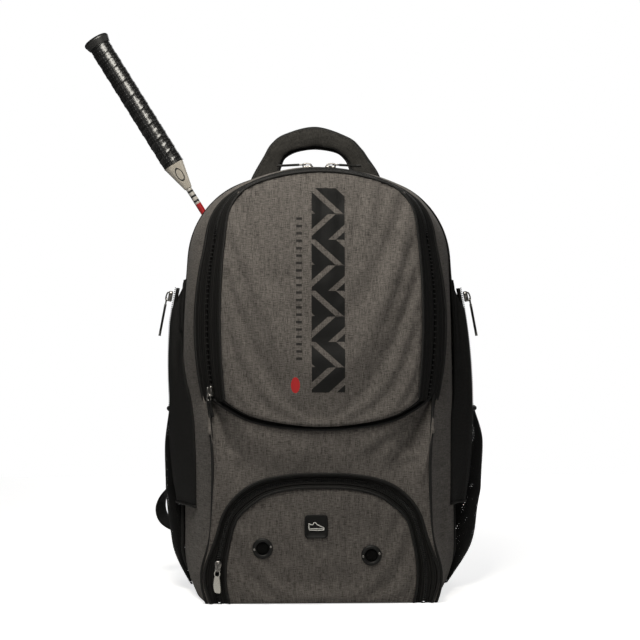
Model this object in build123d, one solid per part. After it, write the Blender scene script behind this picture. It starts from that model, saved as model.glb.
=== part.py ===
from build123d import *
import math
import os

# Racket backpack, millimetres. +X is the viewer's right, -Y the front, +Y the wearer's back, +Z up.
# The origin is on the floor, under the middle of the body.

# ---- driving dimensions ----
BODY_TOP = 470.0          # crown of the bag body
BASE_THICK = 4.0
WALL = 4.0                # fabric with foam behind it
TAPE = 2.6                # zip tape, coil and storm flap together
SPLIT = 0.6               # gap between the two tapes of a closed zip

PANEL_Y = -97.0           # outer face of the front pocket panel's rim
PANEL_BACK_Y = -92.0
POCKET_ZIP_Y = -76.0      # zip line of the front pocket
SEAM_Y = -60.0            # seam between the zip band and the grey gusset
POCKET_WALL_Y = -57.0
MAIN_ZIP_Y = -12.0        # zip line of the main compartment
MAIN_TAPE = 4.0           # how far each main zip tape runs to either side of its line
DIVIDER_Y = 58.0          # front face of the racket compartment
DIVIDER_THICK = 3.0
BACK_Y = 93.0             # front face of the back panel
BACK_THICK = 5.0
PAD_THICK = 12.0

SECTION_FLOOR = 196.5     # the hinged front section starts here
FLAP_FLOOR = 208.0        # the front pocket flap starts here
LOWER_TOP = 196.0         # top of the fixed lower front

# Edge of the lower front face from the floor up, as (x, z): it flares out at the foot.
FRONT_EDGE = [(134.0, 0.0), (131.0, 32.0), (117.5, 66.0), (115.5, 150.0), (119.0, 196.0)]
SIDE_HALF = 151.0         # half width of the body
CEILING_Z = 150.0         # top of the shoe compartment

# Arch outlines, each as (x, z) of the foot, hip, belly, neck and brow, and the z of the crown.
PANEL = dict(foot=(100, 0), hip=(102, 206), belly=(108.5, 286), neck=(102, 402), brow=(76, 446), top=461)
ZIPLINE = dict(foot=(112, 0), hip=(113, 206), belly=(122.5, 288), neck=(113, 396), brow=(86, 443), top=464)
SEAM = dict(foot=(124, 0), hip=(125, 206), belly=(136.5, 290), neck=(124, 388), brow=(96, 440), top=467)
MAIN = dict(
    foot=(149, 0), hip=(150.5, 200), belly=(151.5, 280), neck=(146, 362), brow=(98, 449), top=BODY_TOP,
)
BACK = dict(foot=(145, 0), hip=(147, 200), belly=(147.5, 280), neck=(142, 358), brow=(96, 445), top=466)
SHOULDER_BULGE = 0.14     # how far the shoulder arc stands off its chord, as a share of the chord

# Racket: head centre, direction to the butt, and lengths along it.
RACKET_Y = 77.0
RACKET_HEAD = (34.5, 161.0)
RACKET_TILT = 32.0        # degrees from upright
HEAD_LONG = 122.0
HEAD_WIDE = 100.0
HEAD_TUBE = 10.0
SHAFT_RADIUS = 3.6
CONE_START = 348.0
GRIP_START = 381.0
BUTT_START = 543.0
RACKET_END = 553.0
GRIP_RADIUS = 13.0

# Racket compartment mouth: everything left of MOUTH_X and above MOUTH_Z is open.
MOUTH_X = -30.0
MOUTH_Z = 250.0

# Zip slider and pull
SLIDER = (12.0, 8.0, 4.0)
SLIDER_LIFT = 0.6
PULL_WIDE = 7.0
PULL_THICK = 1.6
PULL_AXIS_OVER = 1.6      # pull axis above the slider's top
PULL_HEEL = 1.2           # pull metal behind its own axis

FAR = 1000.0


def arch_face(y, shape, inset=0.0):
    """One arch outline as a flat face at depth y, drawn in by inset."""
    foot, hip, belly, neck, brow = (shape[k] for k in ("foot", "hip", "belly", "neck", "brow"))
    top = shape["top"] - inset
    right = [(x - inset, z) for x, z in (foot, hip, belly, neck)]
    brow = (brow[0] - inset * 0.5, brow[1] - inset * 0.9)
    neck = right[3]
    chord = (brow[0] - neck[0], brow[1] - neck[1])
    shoulder = (
        (neck[0] + brow[0]) / 2 + chord[1] * SHOULDER_BULGE,
        (neck[1] + brow[1]) / 2 - chord[0] * SHOULDER_BULGE,
    )
    left = [(-x, z) for x, z in right]
    with BuildSketch(Plane.XZ.offset(-y)) as sketch:
        with BuildLine():
            Line(left[0], right[0])
            Line(right[0], right[1])
            ThreePointArc(right[1], right[2], right[3])
            ThreePointArc(right[3], shoulder, brow)
            ThreePointArc(brow, (0, top), (-brow[0], brow[1]))
            ThreePointArc((-brow[0], brow[1]), (-shoulder[0], shoulder[1]), left[3])
            ThreePointArc(left[3], left[2], left[1])
            Line(left[1], left[0])
        make_face()
    return sketch.sketch


def block(x0, x1, y0, y1, z0, z1):
    """An axis-aligned box between two corners."""
    return Pos((x0 + x1) / 2, (y0 + y1) / 2, (z0 + z1) / 2) * Box(x1 - x0, y1 - y0, z1 - z0)


def above(solid, floor):
    """The part of a solid above a floor height."""
    return solid & block(-FAR, FAR, -FAR, FAR, floor, FAR)


def arch_solid(y0, shape0, y1, shape1, floor, inset=0.0):
    """A filled loft between two arch outlines, cut off at its floor."""
    return above(loft([arch_face(y0, shape0, inset), arch_face(y1, shape1, inset)]), floor)


def arch_ring(y0, shape0, y1, shape1, floor, wall):
    """The wall of a loft between two arch outlines, open at both ends and at the floor."""
    outer = loft([arch_face(y0, shape0), arch_face(y1, shape1)])
    inner = loft([arch_face(y0, shape0, wall), arch_face(y1, shape1, wall)])
    return above(outer - inner, floor)


def plan_prism(points, z0, z1):
    """A prism from plan points (x, y), between two heights."""
    return extrude(plan_face(points, z0), amount=z1 - z0)


def plan_face(points, z):
    """A flat face from plan points (x, y) at one height."""
    with BuildSketch(Plane.XY.offset(z)) as sketch:
        with BuildLine():
            Polyline(*points, close=True)
        make_face()
    return sketch.sketch


def ruled_stack(sections):
    """A solid with straight sides through plan outlines given as (height, points)."""
    return loft([plan_face(points, z) for z, points in sections], ruled=True)


def front_prism(points, y0, y1, corner=0.0):
    """A prism from front-view points (x, z), between two depths, with rounded corners if asked."""
    with BuildSketch(Plane.XZ.offset(-y0)) as sketch:
        with BuildLine():
            Polyline(*points, close=True)
        make_face()
        if corner:
            fillet(sketch.vertices(), corner)
    return extrude(sketch.sketch, amount=-(y1 - y0))


def mirror_x(solid):
    """The same piece on the other side of the bag."""
    return mirror(solid, about=Plane.YZ)


def group(*solids):
    """Separate solids kept together in one node."""
    return Compound(children=[s for piece in solids for s in piece.solids()])


# ---- fixed body ----


def side_plan(front_x, inset, y_front):
    """The body's plan at one height on both sides, from the front corners back to the divider."""
    gusset_end = MAIN_ZIP_Y + MAIN_TAPE
    slope = (SIDE_HALF - 1 - front_x) / (gusset_end - PANEL_BACK_Y)
    corner_x = front_x + slope * (y_front - PANEL_BACK_Y) - inset
    right = [(corner_x, y_front), (SIDE_HALF - 2 - inset, gusset_end), (SIDE_HALF - 2 - inset, DIVIDER_Y)]
    return right + [(-x, y) for x, y in reversed(right)]


def base_panel():
    plan = side_plan(FRONT_EDGE[0][0], WALL + 1.5, PANEL_BACK_Y + WALL)
    return plan_prism(plan, 0, BASE_THICK) & lower_body_core()


def lower_body_core():
    """The space between the two lower gussets, used to trim the base to their flare."""
    return ruled_stack([(z, side_plan(x, WALL + 1.5, PANEL_BACK_Y + WALL)) for x, z in FRONT_EDGE])


def shoe_ceiling():
    plan = side_plan(FRONT_EDGE[3][0], WALL + 2, PANEL_BACK_Y + WALL)
    return plan_prism(plan, CEILING_Z, CEILING_Z + 3)


def lower_gusset():
    """Grey side wall from the front corner back to the main zip line, on the right."""
    gusset_end = MAIN_ZIP_Y + MAIN_TAPE
    sections = []
    for front_x, z in FRONT_EDGE:
        plan = [
            (front_x, PANEL_BACK_Y),
            (SIDE_HALF - 1, gusset_end),
            (SIDE_HALF - 1 - WALL, gusset_end),
            (front_x - WALL, PANEL_BACK_Y + WALL),
            (front_x - WALL, PANEL_BACK_Y),
        ]
        sections.append((z, plan))
    return ruled_stack(sections)


# Shoe compartment opening, as (x, z) of half an inverted U.
SHOE_OUTER = dict(foot=(129.0, 0), knee=(126.0, 31), thigh=(112.5, 68), shoulder=(103, 97), top=136.5)
SHOE_ZIP = dict(foot=(119.0, 0), knee=(113.6, 27), thigh=(105.4, 68), shoulder=(97, 94), top=129.0)
SHOE_INNER = dict(foot=(106.5, 0), knee=(103.5, 27), thigh=(99.0, 64), shoulder=(90, 91), top=121.6)
HINGE_Z = 3.0             # lower edge of the shoe flap


def shoe_face(shape, y, inset=0.0, floor=0.0):
    """The inverted U of the shoe compartment as a face at depth y."""
    sides = [(x - inset, z) for x, z in (shape[k] for k in ("foot", "knee", "thigh", "shoulder"))]
    foot, knee, thigh, shoulder = sides
    slope = (knee[0] - foot[0]) / (knee[1] - foot[1])
    foot = (foot[0] + slope * floor, floor)
    top = shape["top"] - inset
    haunch = (shoulder[0] * 0.66, shoulder[1] + (top - shoulder[1]) * 0.80)
    right = [foot, knee, thigh, shoulder]
    left = [(-x, z) for x, z in right]
    with BuildSketch(Plane.XZ.offset(-y)) as sketch:
        with BuildLine():
            Polyline(*left[::-1], *right)
            Spline(shoulder, haunch, (0, top), (-haunch[0], haunch[1]), (-shoulder[0], shoulder[1]),
                   tangents=[(-0.3, 1), (-0.3, -1)])
        make_face()
    return sketch.sketch


def shoe_solid(shape, y0, y1, inset=0.0, floor=0.0):
    return extrude(shoe_face(shape, y0, inset, floor), amount=-(y1 - y0))


def lower_front_panel():
    right = [(x - WALL, z) for x, z in FRONT_EDGE]
    left = [(-x, z) for x, z in reversed(right)]
    panel = front_prism(right + left, PANEL_BACK_Y, PANEL_BACK_Y + WALL)
    return panel - shoe_solid(SHOE_OUTER, PANEL_BACK_Y - 1, PANEL_BACK_Y + WALL + 1, inset=-0.05, floor=-1)


def shoe_zip_tape_outer():
    tape = shoe_solid(SHOE_OUTER, PANEL_BACK_Y, PANEL_BACK_Y + TAPE)
    return tape - shoe_solid(SHOE_ZIP, PANEL_BACK_Y - 1, PANEL_BACK_Y + TAPE + 1, floor=-1)


PIPING_RADIUS = 1.6


def front_piping():
    """Raised piping up both edges of the lower front, in straight runs that follow its flare."""
    y = PANEL_BACK_Y - PIPING_RADIUS
    route = [Vector(x - PIPING_RADIUS, y, max(z, BASE_THICK)) for x, z in FRONT_EDGE]
    runs = []
    for low, high in zip(route, route[1:]):
        run = Plane(low, z_dir=high - low) * Cylinder(
            PIPING_RADIUS, (high - low).length, align=(Align.CENTER, Align.CENTER, Align.MIN)
        )
        runs += [run, Pos(high) * Sphere(PIPING_RADIUS)]
    cord = runs[0] + runs[1:-1]
    return group(cord, mirror_x(cord))


def rear_gusset():
    return arch_ring(MAIN_ZIP_Y + MAIN_TAPE, MAIN, DIVIDER_Y, MAIN, 0, WALL)


def main_zip_tape_rear():
    return arch_ring(MAIN_ZIP_Y + SPLIT / 2, MAIN, MAIN_ZIP_Y + MAIN_TAPE, MAIN, SECTION_FLOOR, TAPE)


def racket_divider():
    return arch_solid(DIVIDER_Y, MAIN, DIVIDER_Y + DIVIDER_THICK, MAIN, 0)


def racket_gusset():
    """Side wall of the racket compartment, open along the left shoulder."""
    ring = arch_ring(DIVIDER_Y + DIVIDER_THICK, MAIN, BACK_Y, BACK, 0, WALL)
    y0 = DIVIDER_Y + DIVIDER_THICK
    floor_front = MAIN["foot"][0] - 1
    floor_back = BACK["foot"][0] - 1
    floor = plan_prism(
        [(-floor_front, y0), (floor_front, y0), (floor_back, BACK_Y), (-floor_back, BACK_Y)], 0, BASE_THICK,
    )
    mouth = block(-FAR, MOUTH_X, DIVIDER_Y, BACK_Y + 1, MOUTH_Z, FAR)
    return (ring + floor) - mouth


def back_panel():
    return arch_solid(BACK_Y, BACK, BACK_Y + BACK_THICK, BACK, 0)


def back_pads():
    """Two long pads beside the spine and a lumbar pad across."""
    y0 = BACK_Y + BACK_THICK
    long_pad = front_prism([(18, 175), (92, 175), (86, 386), (18, 386)], y0, y0 + PAD_THICK, corner=12)
    lumbar = front_prism([(-112, 40), (112, 40), (104, 160), (-104, 160)], y0, y0 + PAD_THICK, corner=16)
    return group(long_pad, mirror_x(long_pad), lumbar)


# ---- side pockets ----
POCKET_FRONT_Y = -8.0
POCKET_BACK_Y = 20.0
POCKET_X = SIDE_HALF + 1.2
POCKET_LOW = 112.0
POCKET_HIGH = 346.0
ZIP_TOP = (161.0, 338.0)      # the side zip runs on one large arc through these three points
ZIP_MID = (174.0, 232.0)
ZIP_LOW = (170.0, 126.0)


def arc_centre(a, b, c):
    """Centre and radius of the circle through three (x, z) points."""
    d = 2 * (a[0] * (b[1] - c[1]) + b[0] * (c[1] - a[1]) + c[0] * (a[1] - b[1]))
    sa, sb, sc = (p[0] ** 2 + p[1] ** 2 for p in (a, b, c))
    x = (sa * (b[1] - c[1]) + sb * (c[1] - a[1]) + sc * (a[1] - b[1])) / d
    z = (sa * (c[0] - b[0]) + sb * (a[0] - c[0]) + sc * (b[0] - a[0])) / d
    return x, z, math.hypot(a[0] - x, a[1] - z)


SIDE_ARC = arc_centre(ZIP_TOP, ZIP_MID, ZIP_LOW)


def side_pocket():
    """Slim padded zip pocket on the right side, its outer face on the side zip's arc."""
    with BuildSketch(Plane.XZ.offset(-POCKET_FRONT_Y)) as sketch:
        with BuildLine():
            Polyline(
                ZIP_LOW, (ZIP_LOW[0] - 2, POCKET_LOW), (POCKET_X, POCKET_LOW),
                (POCKET_X, POCKET_HIGH), ZIP_TOP,
            )
            ThreePointArc(ZIP_TOP, ZIP_MID, ZIP_LOW)
        make_face()
    return extrude(sketch.sketch, amount=-(POCKET_BACK_Y - POCKET_FRONT_Y))


def side_zip_tape():
    """Zip strip on the side pocket's outer face."""
    x, z, radius = SIDE_ARC
    disc = Pos(x, (POCKET_FRONT_Y + POCKET_BACK_Y) / 2, z) * Rot(90, 0, 0) * (
        Cylinder(radius + 1.4, 12) - Cylinder(radius, 14)
    )
    return disc & block(0, FAR, -FAR, FAR, ZIP_LOW[1], ZIP_TOP[1])


MESH_WALL = 2.4
# Plan sections of the mesh pocket, as height, front edge y and how far it stands off the side.
MESH_SECTIONS = [(10.0, -4.0, 9.0), (60.0, -4.0, 25.0), (98.0, 4.0, 31.0), (111.0, 22.0, 33.0),
                 (160.0, 22.0, 35.0), (198.0, 22.0, 28.0)]
MESH_BACK_Y = 92.0


def mesh_section(z, front, bulge, inset):
    """One plan outline of the mesh pocket at height z."""
    wall_x = SIDE_HALF + 1.2
    step = 9.0
    points = [
        (wall_x, front + inset),
        (wall_x + bulge - inset, front + step + inset),
        (wall_x + bulge - inset, MESH_BACK_Y - step - inset),
        (wall_x, MESH_BACK_Y - inset),
    ]
    with BuildSketch(Plane.XY.offset(z)) as sketch:
        with BuildLine():
            Polyline(*points, close=True)
        make_face()
    return sketch.sketch


def mesh_pocket():
    """Open-topped mesh bottle pocket on the right side."""
    outer = loft([mesh_section(z, front, bulge, 0) for z, front, bulge in MESH_SECTIONS], ruled=True)
    inner_rows = list(MESH_SECTIONS)
    first, last = inner_rows[0], inner_rows[-1]
    inner_rows[0] = (first[0] + MESH_WALL, first[1], first[2])
    inner_rows[-1] = (last[0] + 1, last[1], last[2])
    inner = loft([mesh_section(z, front, bulge, MESH_WALL) for z, front, bulge in inner_rows], ruled=True)
    return outer - inner


def mesh_binding():
    """Elastic binding round the mouth of the mesh pocket."""
    z, front, bulge = MESH_SECTIONS[-1]
    outer = extrude(mesh_section(z, front, bulge, 0), amount=7)
    inner = extrude(mesh_section(z - 1, front, bulge, MESH_WALL), amount=9)
    return outer - inner


# ---- shoulder straps ----
STRAP_WIDE = 58.0
STRAP_THICK = 10.0
STRAP_LEAN = 11.0         # degrees each strap leans outwards on its way down
STRAP_TOP = (50.0, 452.0)


def shoulder_strap():
    """Padded strap on the right, standing off the back so an arm goes through."""
    back = BACK_Y + BACK_THICK + STRAP_THICK / 2 + 0.5
    path = FilletPolyline(
        (0, back, 0), (0, back, -22), (0, back + 26, -80), (0, back + 30, -200), (0, back + 16, -310),
        radius=[18, 60, 120],
    )
    section = Plane((0, back, 0), x_dir=(1, 0, 0), z_dir=(0, 0, -1)) * Rectangle(STRAP_WIDE, STRAP_THICK)
    strap = sweep(section, path=path)
    return Pos(STRAP_TOP[0] + 4, 0, STRAP_TOP[1] - 6) * Rot(0, -STRAP_LEAN, 0) * strap


WEBBING_THICK = 2.0
WEBBING_WIDE = 20.0
WEBBING_Y = 118.0
WEBBING_LEFT = [(-117, 130), (-162, 113), (-186, 88), (-180, 62), (-150, 50)]
WEBBING_RIGHT = [(117, 130), (154, 106), (168, 84), (164, 62), (146, 50)]


def webbing_band(points):
    """Flat lower strap webbing, its wide face to the front."""
    path = FilletPolyline(*[(x, WEBBING_Y, z) for x, z in points], radius=11)
    start = Vector(points[0][0], WEBBING_Y, points[0][1])
    heading = Vector(points[1][0] - points[0][0], 0, points[1][1] - points[0][1])
    section = Plane(start, x_dir=(0, 1, 0), z_dir=heading) * Rectangle(WEBBING_THICK, WEBBING_WIDE)
    return sweep(section, path=path)


def strap_tabs():
    """Stitched tabs that hold the webbing to the bag's lower corners."""
    y0 = BACK_Y + BACK_THICK
    tab = front_prism([(128, 26), (156, 38), (156, 62), (128, 74)], y0, y0 + 18.8)
    return group(tab, mirror_x(tab))


# ---- haul handle ----
HANDLE_Y = 90.0
HANDLE_THICK = 9.0
HANDLE_FOOT_Z = 474.0
HANDLE_OUT = [(74, HANDLE_FOOT_Z), (59, 497), (38, 518), (0, 528)]
HANDLE_IN = [(43, HANDLE_FOOT_Z), (42, 486), (27, 499), (0, 504)]


def handle_outline(y, points):
    """Half of the handle's outline, mirrored, as a face."""
    right = points
    left = [(-x, z) for x, z in right]
    with BuildSketch(Plane.XZ.offset(-y)) as sketch:
        with BuildLine():
            Line(left[0], right[0])
            Spline(right[0], right[1], right[2], right[3], left[2], left[1], left[0])
        make_face()
    return sketch.sketch


def handle_pad():
    outer = extrude(handle_outline(HANDLE_Y, HANDLE_OUT), amount=-HANDLE_THICK)
    inner = extrude(handle_outline(HANDLE_Y - 1, HANDLE_IN), amount=-(HANDLE_THICK + 2))
    return outer - inner


def handle_webbing():
    """Webbing sewn down the back face of the handle."""
    y0 = HANDLE_Y + HANDLE_THICK
    outer = [(x - 5 * (x > 1), z - 5 * (x < 1)) for x, z in HANDLE_OUT]
    inner = [(x + 5 * (x > 1), z + 5 * (x < 1)) for x, z in HANDLE_IN]
    band = extrude(handle_outline(y0, outer), amount=-WEBBING_THICK)
    return band - extrude(handle_outline(y0 - 1, inner), amount=-(WEBBING_THICK + 2))


def handle_anchors():
    """Webbing ends of the handle, stitched to the top of the back panel."""
    y0 = BACK_Y + BACK_THICK
    anchor = block(46, 70, y0, y0 + WEBBING_THICK, 453.5, 464)
    return group(anchor, mirror_x(anchor))


# ---- hinged front section ----


def upper_gusset():
    return arch_ring(POCKET_WALL_Y, SEAM, MAIN_ZIP_Y - MAIN_TAPE, MAIN, SECTION_FLOOR, WALL)


def main_zip_tape_front():
    return arch_ring(MAIN_ZIP_Y - MAIN_TAPE, MAIN, MAIN_ZIP_Y - SPLIT / 2, MAIN, SECTION_FLOOR, TAPE)


def pocket_back_wall():
    return arch_solid(SEAM_Y, SEAM, POCKET_WALL_Y, SEAM, SECTION_FLOOR)


def pocket_zip_tape_rear():
    return arch_ring(POCKET_ZIP_Y + SPLIT / 2, ZIPLINE, SEAM_Y, SEAM, FLAP_FLOOR, TAPE)


def pocket_floor():
    """Shallow tray that closes the front pocket below its flap."""
    half_front = PANEL["hip"][0]
    half_back = SEAM["hip"][0]
    tray = plan_prism(
        [(half_front, PANEL_Y), (half_back, SEAM_Y), (-half_back, SEAM_Y), (-half_front, PANEL_Y)],
        SECTION_FLOOR, FLAP_FLOOR - SPLIT,
    )
    hollow = plan_prism(
        [(half_front - WALL, PANEL_Y + WALL), (half_back - WALL, SEAM_Y - TAPE),
         (WALL - half_back, SEAM_Y - TAPE), (WALL - half_front, PANEL_Y + WALL)],
        SECTION_FLOOR + 3, FLAP_FLOOR,
    )
    return tray - hollow


# ---- front pocket flap ----
CROWN = 7.0               # how far the panel's middle stands proud of its rim
CROWN_INSET = 30.0


def pocket_panel():
    """Padded panel, crowned towards the front."""
    rim = arch_solid(PANEL_Y, PANEL, PANEL_BACK_Y, PANEL, FLAP_FLOOR)
    crown = loft([arch_face(PANEL_Y - CROWN, PANEL, CROWN_INSET), arch_face(PANEL_Y, PANEL, 2)])
    lower_cut = Pos(0, PANEL_Y, FLAP_FLOOR) * Rot(-14, 0, 0) * Pos(0, 0, -60) * Box(FAR, 60, 120)
    return rim + (above(crown, FLAP_FLOOR) - lower_cut)


def pocket_zip_tape_front():
    return arch_ring(PANEL_BACK_Y, PANEL, POCKET_ZIP_Y - SPLIT / 2, ZIPLINE, FLAP_FLOOR, TAPE)


# ---- shoe flap ----
SHOE_CROWN = 8.0
VENTS = [(-63.0, 59.0), (53.0, 51.0)]
VENT_RADIUS = 11.0
VENT_HOLE = 7.0
LABEL = (-6.0, 82.0, 25.0)


def shoe_panel():
    """Padded flap panel with two vent holes."""
    front = PANEL_BACK_Y - SHOE_CROWN
    rim = shoe_solid(SHOE_INNER, PANEL_BACK_Y, PANEL_BACK_Y + WALL, floor=HINGE_Z)
    small = shoe_face(SHOE_INNER, front, 22, floor=24)
    large = shoe_face(SHOE_INNER, PANEL_BACK_Y, 1, floor=HINGE_Z + 3)
    crown = loft([small, large])
    panel = rim + crown
    for x, z in VENTS:
        panel -= Pos(x, PANEL_BACK_Y, z) * Rot(90, 0, 0) * Cylinder(VENT_HOLE, 60)
    return panel


def shoe_zip_tape_inner():
    tape = shoe_solid(SHOE_ZIP, PANEL_BACK_Y, PANEL_BACK_Y + TAPE, inset=SPLIT, floor=HINGE_Z)
    return tape - shoe_solid(SHOE_INNER, PANEL_BACK_Y - 1, PANEL_BACK_Y + TAPE + 1, inset=-0.05, floor=-1)


def vent_rings():
    """Black eyelets round the two vent holes."""
    front = PANEL_BACK_Y - SHOE_CROWN
    ring = Rot(90, 0, 0) * (Cylinder(VENT_RADIUS, 2) - Cylinder(VENT_HOLE, 4))
    return group(*[Pos(x, front - 1, z) * ring for x, z in VENTS])


def vent_mesh():
    """Discs of vent mesh just inside the eyelets."""
    front = PANEL_BACK_Y - SHOE_CROWN
    disc = Rot(90, 0, 0) * Cylinder(VENT_HOLE - 0.05, 0.8)
    return group(*[Pos(x, front - 0.6, z) * disc for x, z in VENTS])


def shoe_label():
    x, z, side = LABEL
    front = PANEL_BACK_Y - SHOE_CROWN
    return front_prism(
        [(x - side / 2, z - side / 2), (x + side / 2, z - side / 2),
         (x + side / 2, z + side / 2), (x - side / 2, z + side / 2)],
        front - 1.2, front, corner=2,
    )


# ---- racket ----
RACKET_DIR = Vector(-math.sin(math.radians(RACKET_TILT)), 0, math.cos(math.radians(RACKET_TILT)))
RACKET_PLANE = Plane((RACKET_HEAD[0], RACKET_Y, RACKET_HEAD[1]), x_dir=(0, 1, 0), z_dir=RACKET_DIR)


def along_racket(solid, distance):
    """Place a solid whose own axis is Z at a distance from the head's centre towards the butt."""
    return RACKET_PLANE * Pos(0, 0, distance) * solid


def racket_frame():
    """Oval head with the throat piece that holds the shaft."""
    face = Plane((RACKET_HEAD[0], RACKET_Y, RACKET_HEAD[1]), x_dir=RACKET_DIR, z_dir=(0, -1, 0))
    ring = Ellipse(HEAD_LONG, HEAD_WIDE) - Ellipse(HEAD_LONG - HEAD_TUBE, HEAD_WIDE - HEAD_TUBE)
    hoop = extrude(ring, amount=HEAD_TUBE / 2, both=True)
    hoop = fillet(hoop.edges(), 2.5)
    throat = along_racket(Cylinder(5.5, 22), HEAD_LONG + 6)
    return (face * hoop) + throat


def racket_strings():
    """The string bed, as one thin sheet inside the hoop."""
    face = Plane((RACKET_HEAD[0], RACKET_Y, RACKET_HEAD[1]), x_dir=RACKET_DIR, z_dir=(0, -1, 0))
    bed = extrude(Ellipse(HEAD_LONG - HEAD_TUBE - 0.2, HEAD_WIDE - HEAD_TUBE - 0.2), amount=0.4, both=True)
    return face * bed


def racket_shaft():
    start = HEAD_LONG + 17
    return along_racket(Cylinder(SHAFT_RADIUS, CONE_START - start), (CONE_START + start) / 2)


def racket_cone():
    length = GRIP_START - CONE_START
    return along_racket(Cone(4.6, 12.4, length), CONE_START + length / 2)


def racket_grip():
    length = BUTT_START - GRIP_START
    return along_racket(Cylinder(GRIP_RADIUS, length), GRIP_START + length / 2)


def racket_butt_cap():
    length = RACKET_END - BUTT_START
    cap = Cone(13.4, 16.5, length)
    cap = fillet(cap.edges().sort_by(Axis.Z)[-1], 3)
    return along_racket(cap, BUTT_START + length / 2)


# ---- zip sliders, pulls and ladder locks ----


def zip_slider(place):
    """Slider body on a plane whose x runs down the zip and whose z points out of the fabric."""
    long, wide, thick = SLIDER
    body = Pos(0, 0, SLIDER_LIFT + thick / 2) * Box(long, wide, thick)
    body = fillet(body.edges().filter_by(Axis.Z), 2.5)
    return place * body


def pull_axis_height():
    return SLIDER_LIFT + SLIDER[2] + PULL_AXIS_OVER


def zip_pull(place, length):
    """Flat pull that turns on an axis across the slider's lower end."""
    tab = Pos(length / 2 - PULL_HEEL, 0, 0) * Box(length, PULL_WIDE, PULL_THICK)
    tab = fillet(tab.edges().filter_by(Axis.Z).sort_by(Axis.X)[-2:], 2.5)
    return place * Pos(SLIDER[0] / 2 - 2, 0, pull_axis_height()) * tab


def on_arc(centre, y, angle, side):
    """Plane on an arc about centre (x, z, radius); angle in degrees above the horizontal, on one side."""
    x, z, radius = centre
    a = math.radians(angle)
    out = Vector(side * math.cos(a), 0, math.sin(a))
    down = Vector(side * math.sin(a), 0, -math.cos(a))
    return Plane(Vector(x * side, y, z) + out * radius, x_dir=down, z_dir=out)


MAIN_ARC = arc_centre(MAIN["brow"], (0, MAIN["top"]), (-MAIN["brow"][0], MAIN["brow"][1]))
POCKET_ARC = arc_centre(ZIPLINE["hip"], ZIPLINE["belly"], ZIPLINE["neck"])
MAIN_SLIDER_ANGLE = 87.0
SIDE_SLIDER_ANGLE = math.degrees(math.asin((ZIP_TOP[1] - 10 - SIDE_ARC[1]) / SIDE_ARC[2]))
POCKET_SLIDER_Z = 226.0
SHOE_SLIDER_Z = 40.0


def main_slider_place(side):
    return on_arc(MAIN_ARC, MAIN_ZIP_Y, MAIN_SLIDER_ANGLE, side)


def side_slider_place(side):
    """Side sliders ride on the strip, which stands a little proud of the pocket."""
    x, z, radius = SIDE_ARC
    return on_arc((x, z, radius + 1.4), (POCKET_FRONT_Y + POCKET_BACK_Y) / 2, SIDE_SLIDER_ANGLE, side)


def pocket_slider_place():
    """On the bevelled zip band at its lower left end."""
    x, z, radius = POCKET_ARC
    angle = math.asin((POCKET_SLIDER_Z - z) / radius)
    half = x + radius * math.cos(angle)
    run = SEAM["belly"][0] - PANEL["belly"][0]
    rise = SEAM_Y - PANEL_BACK_Y
    out = Vector(-rise, -run, 0).normalized()
    down = Vector(-math.sin(angle), 0, -math.cos(angle))
    return Plane(Vector(-half, POCKET_ZIP_Y, POCKET_SLIDER_Z) + out * 0.5, x_dir=down, z_dir=out)


def shoe_slider_place():
    """On the flap's zip band at its lower left end."""
    knee = Vector(-SHOE_ZIP["knee"][0], PANEL_BACK_Y, SHOE_ZIP["knee"][1])
    thigh = Vector(-SHOE_ZIP["thigh"][0], PANEL_BACK_Y, SHOE_ZIP["thigh"][1])
    up = (thigh - knee).normalized()
    start = knee + up * (SHOE_SLIDER_Z - knee.Z)
    return Plane(start, x_dir=-up, z_dir=(0, -1, 0))


def racket_slider_place():
    """At the lower end of the racket compartment's open mouth."""
    return Plane((-SIDE_HALF + 0.6, RACKET_Y, MOUTH_Z - 11), x_dir=(0, 0, -1), z_dir=(-1, 0, 0))


LOCK = (30.0, 18.0, 6.0)


def ladder_lock(points):
    """Plastic buckle that grips the webbing just below the padded strap."""
    start = Vector(points[0][0], WEBBING_Y, points[0][1])
    heading = Vector(points[1][0] - points[0][0], 0, points[1][1] - points[0][1]).normalized()
    place = Plane(start + heading * 16, x_dir=(0, 1, 0), z_dir=heading)
    frame = Box(LOCK[2], LOCK[0], LOCK[1]) - Box(WEBBING_THICK + 0.8, WEBBING_WIDE + 0.8, LOCK[1] + 2)
    return place * frame


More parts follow.
